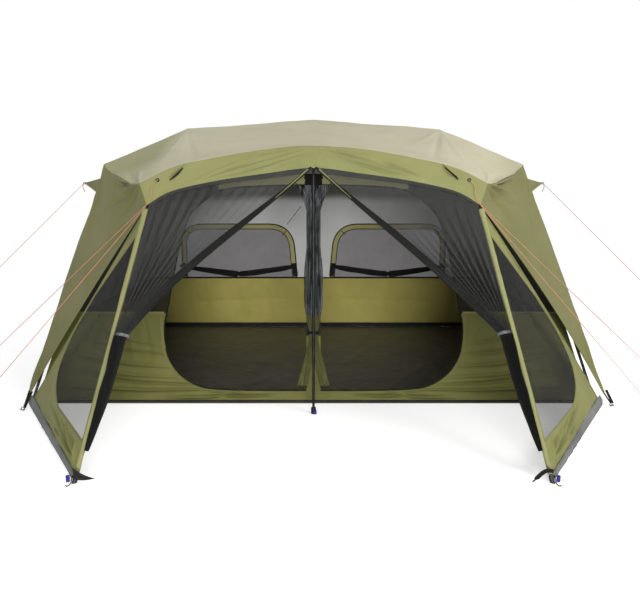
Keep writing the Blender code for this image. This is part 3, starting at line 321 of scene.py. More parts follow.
# The slots, each with the materials that belong to it
SLOTS = {
    "roof_cloth": (FLY_ROOF,),
    "ground_cloth": (FLOOR,),
    "olive_cloth": (FLY, FLY_SIDE_SHADED, PORCH_CLOTH, SLEEVE_CLOTH, WALL_SHADED, BAND_LIT, FRAME_CLOTH, OLIVE_TAPE),
    "mesh_cloth": (PORCH_MESH, HEADER_MESH, SIDE_MESH, WINDOW_MESH, DOOR_MESH),
    "dark_cloth": (BLACK_CLOTH, GREY_HEM, STRAP, ZIP_BAND, GREY_TIE, BLUE_PATCH),
    "cord_pink": (RED_CORD, GUY),
    "dark_steel": (BLACK_STEEL,),
}


def dressed(thing, materials, body="tent"):
    """Adds a piece to the scene, riding on its body."""
    bpy.context.collection.objects.link(thing)
    if not isinstance(materials, list):
        materials = [materials]
    for material in materials:
        thing.data.materials.append(material)
    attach(thing, body)
    for slot, users in SLOTS.items():
        materials[0] in users
    return thing


def from_form(name, form, materials, body="tent", smooth=True):
    mesh = bpy.data.meshes.new(name)
    form.to_mesh(mesh)
    form.free()
    mesh.polygons.foreach_set("use_smooth", [smooth] * len(mesh.polygons))
    return dressed(bpy.data.objects.new(name, mesh), materials, body)


def wire(name, points, radius, material, cyclic=False):
    curve = bpy.data.curves.new(name, "CURVE")
    curve.dimensions = "3D"
    curve.bevel_depth = radius
    curve.bevel_resolution = 3
    curve.use_fill_caps = True
    spline = curve.splines.new("POLY")
    spline.points.add(len(points) - 1)
    spline.use_cyclic_u = cyclic
    for point, place in zip(spline.points, points):
        point.co = (*place, 1.0)
    return dressed(bpy.data.objects.new(name, curve), material)


def spread(points, counts):
    """The points of a polyline, each stretch split into as many equal steps as its count says."""
    result = [Vector(points[0])]
    for first, last, count in zip(points, points[1:], counts):
        result += [Vector(first).lerp(Vector(last), step / count) for step in range(1, count + 1)]
    return result


def spline_point(a, b, c, d, t):
    """A point on the way from b to c, of the smooth curve through all four."""
    return 0.5 * (2 * b + (c - a) * t + (2 * a - 5 * b + 4 * c - d) * t * t
                  + (3 * b - a - 3 * c + d) * t ** 3)


def smooth_through(points, counts, mirrored=True):
    """A smooth curve through the points. A mirrored one starts on the tent's middle plane."""
    points = [Vector(p) for p in points]
    before = points[1] * Vector((-1.0, 1.0, 1.0)) if mirrored else points[0] * 2 - points[1]
    line = [before, *points, points[-1] * 2 - points[-2]]
    result = [points[0].copy()]
    for k, count in enumerate(counts):
        result += [spline_point(*line[k:k + 4], step / count) for step in range(1, count + 1)]
    return result


def run_along(line):
    """How far along a line each of its points lies."""
    lengths = [0.0]
    for first, second in zip(line, line[1:]):
        lengths.append(lengths[-1] + (second - first).length)
    return lengths


def evened(line, count):
    """A line with count equal steps."""
    lengths = run_along(line)
    result, k = [], 0
    for step in range(count + 1):
        want = lengths[-1] * step / count
        while k < len(line) - 2 and lengths[k + 1] < want:
            k += 1
        gap = max(lengths[k + 1] - lengths[k], 1e-9)
        result.append(line[k].lerp(line[k + 1], min(1.0, (want - lengths[k]) / gap)))
    return result


def closed(loop):
    return loop + loop[:1]


def hoop(centre, across, up, count):
    """Points round an ellipse, given by its two half axes."""
    angles = [2 * math.pi * k / count for k in range(count)]
    return [centre + across * math.cos(angle) + up * math.sin(angle) for angle in angles]


def between(near, far, rows, sag=Vector()):
    """Rows of points between two lines with as many points each."""
    shares = [row / rows for row in range(rows + 1)]
    return [[a.lerp(b, share) + sag * arch(share) for a, b in zip(near, far)] for share in shares]


def flipped(line, side):
    """Points as on the right, moved to their own side."""
    return [p * Vector((side, 1.0, 1.0)) for p in line]


def both(rows):
    return rows, [flipped(row, -1) for row in rows]


def add_web(form, rows, tag=0):
    """Adds the faces of a grid of points, all with this material. Points that coincide make triangles."""
    for upper, lower in zip(rows, rows[1:]):
        for k in range(len(upper) - 1):
            corners = []
            for point in (upper[k], upper[k + 1], lower[k + 1], lower[k]):
                if all((point - other).length > 0.00001 for other in corners):
                    corners.append(point)
            if len(corners) > 2:
                form.faces.new([form.verts.new(point) for point in corners]).material_index = tag


def sewn(name, grids, materials, gap=WELD_GAP, seams=(), paint=None):
    """Cloth of several grids of points, with seams at some heights. A grid comes after its material's number,
    and paint gives the number for a place instead."""
    form = bmesh.new()
    for tag, rows in grids:
        add_web(form, rows, tag)
    bmesh.ops.remove_doubles(form, verts=form.verts, dist=gap)
    bmesh.ops.recalc_face_normals(form, faces=form.faces)
    for z in seams:
        geometry = form.verts[:] + form.edges[:] + form.faces[:]
        bmesh.ops.bisect_plane(form, geom=geometry, plane_co=UP * z, plane_no=UP, dist=0.0002)
    if paint:
        for face in form.faces:
            face.material_index = paint(face.calc_center_median())
    return from_form(name, form, materials)


def woven(name, rows, materials, **more):
    return sewn(name, [(0, rows)], materials, **more)


def crease(first, last, depth, width, bow=Vector(), share=0.5):
    """A crease from one place to another, bowed in between: its points, its depth and its half width."""
    return [first, first.lerp(last, share) + bow, last], depth, width


def rumple(thing, creases=(), swell=0.004, size=0.4, fade=0.05, seed=0.0):
    """Moves cloth along its normals by broad swells and by creases, but not at its edges."""
    mesh = thing.data
    count = len(mesh.vertices)
    places = np.empty(count * 3)
    normals = np.empty(count * 3)
    mesh.vertices.foreach_get("co", places)
    mesh.vertices.foreach_get("normal", normals)
    places, normals = places.reshape(-1, 3), normals.reshape(-1, 3)
    shift = Vector((seed, seed * 0.7, seed * 1.3))
    move = []
    for place in places:
        place = Vector(place)
        broad, fine = noise.noise(place / size + shift), noise.noise(place / (size * 0.31) + shift)
        move.append(swell * (broad + 0.45 * fine))
    move = np.array(move)
    for line, depth, width in creases:
        line = np.array([tuple(p) for p in line])
        steps = np.linalg.norm(np.diff(line, axis=0), axis=1)
        run = np.concatenate([[0.0], np.cumsum(steps)]) / steps.sum()
        best = np.full(count, 1e9)
        along = np.zeros(count)
        for k in range(len(line) - 1):
            d = line[k + 1] - line[k]
            t = np.clip(((places - line[k]) @ d) / (d @ d), 0, 1)
            away = np.linalg.norm(places - line[k] - t[:, None] * d, axis=1)
            near = away < best
            best = np.where(near, away, best)
            along = np.where(near, run[k] + (run[k + 1] - run[k]) * t, along)
        taper = np.sin(np.pi * np.clip(along, 0.02, 0.98)) ** 0.6
        grow = 0.6 + 0.8 * along
        move += depth * taper * np.exp(-(best / (width * grow)) ** 2)
    uses = {}
    for face in mesh.polygons:
        for edge in face.edge_keys:
            uses[edge] = uses.get(edge, 0) + 1
    rim = sorted({v for edge, n in uses.items() if n == 1 for v in edge})
    if rim:
        tree = kdtree.KDTree(len(rim))
        for v in rim:
            tree.insert(places[v], v)
        tree.balance()
        off = np.array([tree.find(p)[2] for p in places])
        move *= np.clip(off / fade, 0, 1)
    mesh.vertices.foreach_set("co", (places + normals * move[:, None]).ravel())
    mesh.update()
    return thing


def ribbon(name, line, across, width, thick, material, body="tent"):
    """A flat strap, tape or hem along a line. across is its width's direction, one for all or one each."""
    form = bmesh.new()
    rings = []
    for k, point in enumerate(line):
        tangent = (line[min(k + 1, len(line) - 1)] - line[max(k - 1, 0)]).normalized()
        side = across[k] if isinstance(across, list) else across
        side = (side - tangent * side.dot(tangent)).normalized()
        normal = tangent.cross(side) * (thick / 2)
        wide = width[k] if isinstance(width, list) else width
        corners = ((0, -1), (wide, -1), (wide, 1), (0, 1))
        rings.append([form.verts.new(point + side * a + normal * n) for a, n in corners])
    for first, second in zip(rings, rings[1:]):
        for k in range(4):
            form.faces.new((first[k], first[(k + 1) % 4], second[(k + 1) % 4], second[k]))
    form.faces.new(rings[0])
    form.faces.new(rings[-1][::-1])
    bmesh.ops.recalc_face_normals(form, faces=form.faces)
    return from_form(name, form, material, body, smooth=False)


def thicken(thing, thickness, offset=0.0):
    skin = thing.modifiers.new("skin", "SOLIDIFY")
    skin.thickness = thickness
    skin.offset = offset
    return skin


# The camera, at the photograph's height and tilt
CAMERA_TILT = math.asin(0.16)
FOCAL_PIXELS = 617.0
PICTURE_WIDTH = 640
SHIFT_PIXELS = 6.5
camera_data = bpy.data.cameras.new("camera")
camera_data.sensor_fit = "HORIZONTAL"
camera_data.sensor_width = 36.0
camera_data.lens = FOCAL_PIXELS / PICTURE_WIDTH * 36.0
camera_data.shift_x = SHIFT_PIXELS / PICTURE_WIDTH
camera = bpy.data.objects.new("camera", camera_data)
camera.location = (0.0, -5.38, 1.54)
camera.rotation_euler = (math.pi / 2 - CAMERA_TILT, 0.0, 0.0)
bpy.context.collection.objects.link(camera)
bpy.context.scene.camera = camera


def add_lamp(name, place, target, size, power, colour=(1.0, 1.0, 1.0)):
    lamp = bpy.data.lights.new(name, "AREA")
    lamp.shape = "DISK"
    lamp.size = size
    lamp.energy = power
    lamp.color = colour
    thing = bpy.data.objects.new(name, lamp)
    thing.location = place
    thing.rotation_euler = (Vector(target) - Vector(place)).to_track_quat("-Z", "Y").to_euler()
    bpy.context.collection.objects.link(thing)


def light_scene():
    """An even pale sky, a soft key lamp from the front right and a weak one into the porch."""
    world = bpy.data.worlds.new("studio")
    bpy.context.scene.world = world
    nodes = Nodes("studio", world)
    sky = nodes.tree.nodes["Background"]
    sky.inputs["Color"].default_value = (0.97, 0.985, 1.0, 1.0)
    sky.inputs["Strength"].default_value = 0.48
    seen = nodes.add("ShaderNodeBackground", Color=(1.0, 1.0, 1.0, 1.0))
    paths = nodes.add("ShaderNodeLightPath").outputs
    bent = nodes.math("MAXIMUM", paths["Is Glossy Ray"], paths["Is Transmission Ray"])
    direct = nodes.math("MAXIMUM", paths["Is Camera Ray"], bent)
    choice = nodes.join("ShaderNodeMixShader", direct, sky.outputs["Background"], seen.outputs["Background"])
    nodes.link(choice, nodes.tree.nodes["World Output"].inputs["Surface"])
    add_lamp("key", (6.0, -5.5, 7.5), (0.0, 0.3, 1.0), 5.0, 560.0, (1.0, 0.985, 0.96))
    add_lamp("fill", (0.7, -14.0, 2.0), (0.0, 1.5, 0.9), 4.5, 1500.0)
    bpy.context.scene.view_settings.view_transform = "Standard"


def lay_floor():
    """A pale floor that keeps the tent's shadow and looks white further out."""
    form = bmesh.new()
    bmesh.ops.create_circle(form, cap_ends=True, segments=96, radius=60.0)
    mesh = bpy.data.meshes.new("studio_floor")
    form.to_mesh(mesh)
    form.free()
    floor = bpy.data.objects.new("studio_floor", mesh)
    floor.location = (0.0, 0.0, -0.0005)
    bpy.context.collection.objects.link(floor)
    nodes = Nodes("floor_paint")
    direct = nodes.add("ShaderNodeLightPath").outputs["Is Camera Ray"]
    nodes.drive("Base Color", nodes.mix(direct, (0.42, 0.42, 0.42), (0.86, 0.86, 0.86)))
    nodes.set(Roughness=0.9)
    dark, glow, bare = [
        nodes.add("ShaderNodeEmission", Strength=power).outputs["Emission"] for power in (0.0, 0.52, 1.0)
    ]
    choice = nodes.join("ShaderNodeMixShader", direct, dark, glow)
    total = nodes.join("ShaderNodeAddShader", nodes.shader.outputs["BSDF"], choice)
    reach = nodes.add("ShaderNodeVectorMath", operation="LENGTH")
    nodes.link(nodes.place, reach.inputs[0])
    away = nodes.ramp(reach.outputs["Value"], 2.6, 4.6)
    edge = nodes.join("ShaderNodeMixShader", away, total, bare)
    nodes.link(edge, nodes.tree.nodes["Material Output"].inputs["Surface"])
    mesh.materials.append(nodes.owner)


light_scene()
lay_floor()

# Guy lines: the corner that each leaves, its start beside it, and its peg's place from the corner
GUY_RADIUS = 0.002
GUY_END_Z = 0.0045
GUYS = {
    "awning": (AWNING_TIP, (0.0017, 0.0, -0.0005), (1.140, -1.770)),
    "side": (PORCH_TOP, (0.0022, -0.0006, 0.0012), (1.745, 0.350)),
    "front": (PORCH_TOP, (0.0004, -0.0036, -0.0012), (1.235, -0.480)),
}


def make_guy_lines():
    for kind, (corner, offset, reach) in GUYS.items():
        for name, side in SIDES.items():
            end = Vector((corner.x + reach[0], corner.y + reach[1], GUY_END_Z))
            start, end = flipped([corner + Vector(offset), end], side)
            line = wire(f"guy_{kind}_{name}", spread([start, end], (24,)), GUY_RADIUS, GUY)
            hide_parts(f"guy_line_{kind}_{name}")
            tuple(start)


make_guy_lines()


def corner_points(end):
    """The elbow and the knuckle of the frame's right-hand corner."""
    inward = -OUTWARD[end]
    elbow = Vector((ELBOW_X, LEG_Y[end] + inward * ELBOW_INSET, ELBOW_Z))
    knuckle = Vector((KNUCKLE_X, LEG_Y[end] + inward * KNUCKLE_INSET, KNUCKLE_Z))
    return elbow, knuckle


def fly_ridge(end):
    elbow, knuckle = corner_points(end)
    rise = 0.023
    over_elbow = elbow + Vector((0.028, OUTWARD[end] * 0.028, rise))
    line = [Vector((0.0, MIDDLE_Y, TENT_HEIGHT)), knuckle + UP * rise, over_elbow]
    return spread(line, (sum(COLUMNS[:3]), COLUMNS[3]))


def front_plane(x, z):
    return Vector((x, PORCH_FOOT.y + FRONT_SLOPE * z, z))


def fly_curve(end, curve, corner_x, corner_z, y=0.0):
    points = []
    for share, rise in curve:
        point = front_plane(corner_x * share, corner_z + rise)
        if end == "rear":
            point.y = y
        points.append(point)
    return smooth_through(points, COLUMNS)


def fly_crease(end):
    if end == "front":
        return fly_curve(end, FRONT_CREASE, PORCH_TOP.x + 0.065, PORCH_TOP.z + 0.143)
    return fly_curve(end, REAR_CREASE, ELBOW_X - 0.310, ELBOW_Z - 0.030, LEG_Y["rear"] - 0.155)


def fly_brow(end):
    if end == "front":
        return fly_curve(end, FRONT_BROW, PORCH_TOP.x, PORCH_TOP.z)
    return fly_curve(end, REAR_BROW, ELBOW_X - 0.370, ELBOW_Z - 0.200, LEG_Y["rear"] - 0.030)


def wing_tips(end, name):
    out = OUTWARD[end]
    shift = WING_TIP_SHIFT[name] if end == "front" else 0.0
    tip = Vector((LEG_X + 0.050 + shift, LEG_Y[end] + out * 0.045, 0.100))
    return tip, tip + Vector((-0.024, out * 0.016, 0.0)), tip + Vector((-0.004, -out * 0.040, 0.0))


def hollow_edge(first, last, shares, middle, hollow):
    """Points from first to last, drawn in towards the middle."""
    pull = (middle - first.lerp(last, 0.5)).normalized() * hollow
    return [first.lerp(last, share) + pull * arch(share) for share in shares]


class Fly:
    """One half of the flysheet, as on the right: its grids of points, and the edges that hems follow."""

    def __init__(self, name):
        self.name = name
        front, rear = fly_ridge("front"), fly_ridge("rear")
        side = []
        for row in range(SIDE_ROWS + 1):
            share = row / SIDE_ROWS
            side.append([
                a.lerp(b, share) - UP * (0.020 * arch(share) * k / (len(front) - 1))
                for k, (a, b) in enumerate(zip(front, rear))
            ])
        eave = [row[-1] for row in side]
        top = eave[AWNING_START:SIDE_ROWS - AWNING_START + 1]
        half = (len(top) - 1) // 2
        pulled = []
        for k, point in enumerate(spread([top[0], AWNING_TIP, top[-1]], (half, half))):
            share = abs(k - half) / half
            pulled.append(point + (top[k] - point) * (0.30 * share * (1 - share)))
        self.grids = [("roof", side), ("awning", between(top, pulled, 12))]
        self.edges = {"awning": (pulled, top)}
        self.add_end("front", eave)
        self.add_end("rear", eave[::-1])

    def add_end(self, end, eave):
        ridge, crease_line, brow = fly_ridge(end), fly_crease(end), fly_brow(end)
        roof = between(ridge, crease_line, ROOF_ROWS, UP * -0.020)
        drop = Vector((0.0, OUTWARD[end] * 0.010, -0.042 if end == "front" else -0.020))
        bends = [arch(row / ROOF_ROWS) for row in range(ROOF_ROWS + 1)]
        for bend, row in zip(bends, roof):
            for k, point in enumerate(row):
                point += drop * (bend * smoothstep(0.80, 1.0, k / (len(row) - 1)))
        face = between(crease_line, brow, BROW_ROWS)
        corner = [row[-1] for row in face]
        tip, on_end, on_side = wing_tips(end, self.name)
        middle = ridge[-1].lerp(tip, 0.5)
        hollow = WING_HOLLOW[self.name if end == "front" else "right"]
        steps = [k / WING_ROWS for k in range(WING_ROWS + 1)]
        edge = hollow_edge(corner[-1], on_end, steps, middle, hollow)
        front_edge = corner[:-1] + edge
        lengths = run_along(front_edge)
        shares = [length / lengths[-1] for length in lengths]
        spine = [ridge[-1].lerp(tip, share) for share in shares]
        wing = [[row[-1] for row in roof]]
        for share, near, far in zip(shares[1:], spine[1:], front_edge[1:]):
            fade = max(0.0, 1 - share / 0.17) ** 2
            wing.append([near.lerp(far, k / ROOF_ROWS) + drop * (fade * bend)
                         for k, bend in enumerate(bends)])
        start = eave[:AWNING_START + 1]
        rim = hollow_edge(start[-1], on_side, shares, middle, WING_HOLLOW["right"])
        flank = [start]
        for near, far in zip(spine[1:], rim[1:]):
            flank.append([near.lerp(far, k / AWNING_START) for k in range(AWNING_START + 1)])
        self.grids += [("roof", roof), ("brow", face), ("wing", wing), ("flank", flank)]
        self.edges[f"brow_{end}"] = (brow, crease_line)
        self.edges[f"wing_{end}"] = (edge, spine[len(corner) - 1:])
        self.edges[f"flank_{end}"] = (rim, spine)


FLY_HALVES = {name: Fly(name) for name in SIDES}


def fly_grids():
    for name, side in SIDES.items():
        for kind, rows in FLY_HALVES[name].grids:
            yield kind, [flipped(row, side) for row in rows]


def roof_tree():
    form = bmesh.new()
    for _, rows in fly_grids():
        add_web(form, rows)
    tree = BVHTree.FromBMesh(form)
    form.free()
    return tree


ROOF = roof_tree()

# Creases of the brow's right half: the start's x and z, the end's x and its drop, and the depth
BROW_CREASES = (
    ((0.05, 1.885), 0.56, 0.085, -0.017), ((0.06, 1.872), 0.92, 0.110, 0.014),
    ((0.05, 1.855), 0.60, 0.130, -0.015), ((0.03, 1.893), 0.44, 0.045, 0.012),
    ((0.36, 1.835), 0.98, 0.125, -0.013), ((0.50, 1.80), 1.03, 0.140, 0.011),
    ((0.10, 1.835), 0.50, 0.160, 0.010),
)
# Folds of the right shoulder, in groups: the centre, how far from it they start, their bow, depth and half
# width, and the places they run to
SHOULDER_CREASES = (
    (front_plane(1.15, 1.650), 0.04, 0.0, 0.019, 0.014,
     ((1.46, -0.93, 1.60), (1.53, -0.86, 1.50), (1.45, -1.00, 1.44), (1.36, -1.08, 1.44))),
    (front_plane(1.15, 1.650), 0.08, -0.020, 0.016, 0.015,
     ((1.46, -0.74, 1.76), (1.38, -0.80, 1.80), (1.28, -0.86, 1.80), (1.50, -0.84, 1.68))),
    (Vector((1.615, -0.515, 1.810)), 0.05, 0.0, -0.013, 0.022,
     ((1.64, -0.66, 1.45), (1.70, -0.70, 1.22), (1.76, -0.60, 1.30))),
    (Vector((1.22, -1.22, 1.46)), 0.05, 0.0, 0.013, 0.016, ((1.38, -1.10, 1.20), (1.50, -1.02, 1.12))),
)
TIP_CREASE_STARTS = ((1.92, -0.80, 0.80), (1.98, -0.80, 0.66), (2.05, -0.86, 0.50))
KNEE_CREASES = (((0.82, -1.10, 1.85), -0.011), ((1.12, -0.95, 1.84), 0.008), ((0.78, -0.55, 2.03), 0.009))


def fly_creases(side):
    """Wrinkles that fan out over the brow from the middle, stronger on the right, and folds round the front
    shoulder, where the pole, the elbow and the ground pull the cloth."""
    lines = []
    for start, x, drop, depth in BROW_CREASES:
        end = front_plane(x, 1.90 - 0.25 * (x / 1.15) ** 2 - drop)
        depth *= 1.0 if side > 0 else 0.6
        lines.append(crease(front_plane(*start), end, depth, 0.0085, UP * -0.012))
    for centre, start, bow, depth, width, targets in SHOULDER_CREASES:
        for k, target in enumerate(targets):
            target = Vector(target)
            line = [centre.lerp(target, start), centre.lerp(target, 0.5) + UP * bow, target]
            lines.append((line, depth * (-1) ** k, width))
    for k, start in enumerate(TIP_CREASE_STARTS):
        lines.append(crease(Vector(start), Vector((2.20, -0.87, 0.12)), 0.010 * (-1) ** k, 0.018))
    for target, depth in KNEE_CREASES:
        lines.append(crease(Vector((1.05, -0.08, 2.12)), Vector(target), depth, 0.022))
    for line, depth, width in lines:
        yield [ROOF.find_nearest(p)[0] for p in evened(flipped(line, side), 14)], depth, width


def make_flysheet():
    # Wings and flanks take the darker olive copy, painted shade.
    grids = [({"roof": 0, "wing": 2, "flank": 2}.get(kind, 1), rows) for kind, rows in fly_grids()]
    sheet = sewn("fly_cloth", grids, [FLY_ROOF, FLY, FLY_SIDE_SHADED])
    if max(sheet.data.polygons, key=lambda face: face.center.z).normal.z < 0:
        sheet.data.flip_normals()
    creases = [*fly_creases(-1), *fly_creases(1)]
    rumple(sheet, creases, swell=0.006, size=0.42, fade=0.03)
    # Painted light and shade over the roof: how much beige each point keeps.
    painted_light = sheet.data.attributes.new("painted_light", "FLOAT", "POINT")
    painted_light.data.foreach_set("value", [roof_painted_light(v.co) for v in sheet.data.vertices])
    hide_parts("flysheet")
    for name, side in SIDES.items():
        edges = FLY_HALVES[name].edges
        for end in OUTWARD:
            for kind, width in (("brow", 0.016), ("wing", 0.020), ("flank", 0.018)):
                material = FLY if kind == "brow" else FLY_SIDE_SHADED
                hem(f"{kind}_hem_{end}_{name}", *edges[f"{kind}_{end}"], side, width, material)
        hem(f"awning_hem_{name}", *edges["awning"], side, 0.014, FLY)


def hem(name, line, back, side, width, material):
    """The doubled edge of the flysheet: a tape along the line, reaching back over the cloth."""
    across = [q - p if (q - p).length > 0.001 else None for p, q in zip(line, back)]
    for k, direction in enumerate(across):
        if direction is None:
            across[k] = next((d for d in across[k + 1:] + across[k - 1::-1] if d is not None), UP)
    return ribbon(name, flipped(line, side), flipped(across, side), width, 0.0035, material)


def roof_painted_light(place):
    """How far the roof's cloth has gone from olive, 0, to beige, 1: painted shade turns it olive past the
    left knuckle and a little at the right elbow.
    """
    if place.x > 0:
        return 1 - 0.30 * smoothstep(1.35, 1.64, place.x)
    share = smoothstep(1.00, 1.22, -place.x)
    # A fold towards the front keeps its beige: less painted shade there.
    pale = smoothstep(-0.62, -0.98, place.y) * (1 - smoothstep(1.50, 1.60, -place.x))
    return 1 - 0.72 * share * (1 - 0.75 * pale)


make_flysheet()


def wall_y(end, z):
    return LEG_Y[end] - OUTWARD[end] * (WALL_INSET + END_LEAN * (z - FLOOR_TOP))


def on_wall(end, x, z, inside=0.0):
    """A point of an end wall. inside is how far it stands off the wall, towards the cabin."""
    return Vector((x, wall_y(end, z) - OUTWARD[end] * inside, z))


def on_front(x, z, inside=0.0):
    return on_wall("front", x, z, inside)


def on_rear(x, z, inside=0.0):
    return on_wall("rear", x, z, inside)


def side_x(z):
    return LEG_X - WALL_INSET - SIDE_LEAN * (z - FLOOR_TOP)


def wall_top(end, x):
    """The height at which a wall meets the roof's underside, less the gap."""
    height = ELBOW_Z
    for _ in range(3):
        height = ROOF.ray_cast(Vector((max(x, 0.001), wall_y(end, height), 0.0)), UP)[0].z - ROOF_GAP - 0.003
    return height


def wall_edge(end):
    """The right half of an end wall's outline, from the top in the middle round to the ground."""
    points = [(x, wall_top(end, x)) for x in (0.0, 0.5, 1.0)]
    points += [(side_x(WALL_TOP), WALL_TOP), (side_x(WALL_FOOT), WALL_FOOT), (0.0, WALL_FOOT)]
    return [Vector((x, z, 0.0)) for x, z in points]


def rounded(points, radii):
    """A closed outline with rounded corners, a radius for each."""
    points = [Vector((*p, 0.0)) for p in points]
    result = []
    for k, corner in enumerate(points):
        if not radii[k]:
            result.append(corner)
            continue
        before, after = points[k - 1], points[(k + 1) % len(points)]
        a, b = (before - corner).normalized(), (after - corner).normalized()
        reach = radii[k] / math.tan(a.angle(b) / 2)
        first, last = corner + a * reach, corner + b * reach
        for step in range(CORNER_STEPS + 1):
            t = step / CORNER_STEPS
            result.append((1 - t) ** 2 * first + 2 * t * (1 - t) * corner + t * t * last)
    return result


def loop_evened(loop, count):
    return evened(closed(loop), count)[:-1]


def ray_to(outline, centre, direction):
    """Where a ray from the centre leaves a closed outline."""
    best = None
    for first, last in zip(outline, outline[1:] + outline[:1]):
        edge = last - first
        cross = direction.x * edge.y - direction.y * edge.x
        if abs(cross) < 1e-9:
            continue
        gap = first - centre
        t = (gap.x * edge.y - gap.y * edge.x) / cross
        u = (gap.x * direction.y - gap.y * direction.x) / cross
        if t > 0 and -1e-6 <= u <= 1 + 1e-6 and (best is None or t < best):
            best = t
    return centre + direction * best


def ring(hole, outline, rows, count):
    """Rows of points from a hole's edge out to an outline round it, corners of the outline kept."""
    centre = sum(hole, Vector()) / len(hole)
    around = loop_evened(hole, count)
    targets = [ray_to(outline, centre, (p - centre).normalized()) for p in around]
    for corner in outline:
        targets[min(range(count), key=lambda k: (targets[k] - corner).length)] = corner
    return between(closed(around), closed(targets), rows)


def placed(rows, place, *more):
    return [[place(p.x, p.y, *more) for p in row] for row in rows]


def disc(loop, centre, rows):
    """Rows of points from a centre out to a loop."""
    return between([centre] * (len(loop) + 1), closed(loop), rows)


def moved_out(loop, distance):
    centre = sum(loop, Vector()) / len(loop)
    result = []
    for k, point in enumerate(loop):
        tangent = (loop[(k + 1) % len(loop)] - loop[k - 1]).normalized()
        normal = Vector((tangent.y, -tangent.x, 0.0))
        if normal.dot(point - centre) < 0:
            normal = -normal
        result.append(point + normal * distance)
    return result


def line_wall(wall, outwards):
    """Gives a cabin wall its outer face of olive cloth, behind the inner one."""
    if sum((face.normal.dot(outwards) for face in wall.data.polygons), 0.0) > 0:
        wall.data.flip_normals()
    wall.data.materials.append(WALL_SHADED)
    wall.data.materials.append(PORCH_CLOTH)
    skin = thicken(wall, 0.004, -1.0)
    skin.material_offset = 2
    skin.material_offset_rim = 2


def front_paint(place):
    """Which of the front wall's cloths is at a place: olive, mesh, black, or the strip over the doorways, a
    lighter olive that is painted light.
    """
    x = abs(place.x)
    if x < COLUMN_HALF:
        return 2 if place.z > COLUMN_DARK_Z else 0
    if place.z <= WALL_SEAM_Z:
        return 0
    if place.z > 1.640 - 0.02 * x and x < 0.74:
        return 2 if x < 0.070 else 3
    return 1


def lined(name, parts):
    """A cabin wall as seen from inside: the band below its seam and the liner above."""
    return sewn(name, [(0, part) for part in parts], [BAND_LIT, LINER], seams=(REAR_SEAM_Z,),
                paint=lambda place: 1 if place.z > REAR_SEAM_Z else 0)


# Creases low on the front wall, from the doorway's rim outwards: the x and z of both ends
FRONT_CREASES = (
    (0.80, 0.092, 1.95, 0.12), (0.90, 0.125, 1.90, 0.20), (1.00, 0.18, 1.92, 0.27), (1.08, 0.26, 1.85, 0.36),
    (1.13, 0.35, 1.80, 0.45), (1.14, 0.42, 1.70, 0.56), (0.55, 0.070, 1.10, 0.030), (0.30, 0.050, 0.85, 0.06),
)
RIM_STEPS = 380
FRONT_ROWS = 100
COLUMN_POINTS = 7


def make_front_wall():
    rim = smooth_through([(*p, 0.0) for p in DOORWAY], (6,) * (len(DOORWAY) - 1), False)
    inner, outer = evened(rim, RIM_STEPS), evened(wall_edge("front"), RIM_STEPS)
    column = [[Vector((0.0, wall_top("front", 0.0), 0.0))] * COLUMN_POINTS]
    for z in np.linspace(DOORWAY[0][1], DOORWAY[-1][1], 60):
        column.append([Vector((x, z, 0.0)) for x in np.linspace(-COLUMN_HALF, COLUMN_HALF, COLUMN_POINTS)])
    column.append([Vector((0.0, WALL_FOOT, 0.0))] * COLUMN_POINTS)
    parts = [*both(placed(between(inner, outer, FRONT_ROWS), on_front)), placed(column, on_front)]
    wall = sewn("cabin_front", [(0, part) for part in parts], [WALL_SHADED, CABIN_MESH, BLACK_CLOTH, TOP_STRIP_LIT],
                seams=(WALL_SEAM_Z, COLUMN_DARK_Z), paint=front_paint)
    creases = []
    for side in SIDES.values():
        for k, (x, z, far, low) in enumerate(FRONT_CREASES):
            a, b = on_front(side * x, z), on_front(side * far, low)
            creases.append(crease(a, b, (0.030, -0.026, 0.022)[k % 3], 0.013, UP * -0.018, 0.45))
        for k, x in enumerate((1.20, 1.32, 1.45)):
            a, b = on_front(side * x, 0.66), on_front(side * (x - 0.06), 0.30)
            creases.append(crease(a, b, 0.008 * (-1) ** k, 0.022))
    rumple(wall, creases, swell=0.007, size=0.30, fade=0.025, seed=3.0)
    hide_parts("cabin_wall_front")
    for name, side in SIDES.items():
        line = [on_front(side * p.x, p.y, -0.002) for p in inner]
        out = [on_front(side * b.x, b.y) - on_front(side * a.x, a.y) for a, b in zip(inner, outer)]
        ribbon(f"door_zip_{name}", line, out, 0.011, 0.004, STRAP)
    line = [on_front(x, 0.003, -0.006) for x in np.linspace(-2.125, 2.125, 120)]
    ribbon("front_ground_hem", line, UP, 0.009, 0.004, BLACK_CLOTH)
    for name, side in SIDES.items():
        line = [on_front(side * x, WALL_SEAM_Z, -0.002) for x in np.linspace(1.90, 1.16, 60)]
        ribbon(f"front_seam_{name}", line, UP, 0.014, 0.002, OLIVE_TAPE)


def shade_top(wall):
    """Paints shade on the liner's top strip, up under the roof, its lower edge wavering."""
    painted_light = wall.data.attributes.new("painted_light", "FLOAT", "POINT")
    values = []
    for vertex in wall.data.vertices:
        x, y, z = vertex.co
        values.append(smoothstep(1.50, 1.60, z + 0.05 * noise.noise(Vector((x * 1.3, y, 4.0)))))
    painted_light.data.foreach_set("value", values)


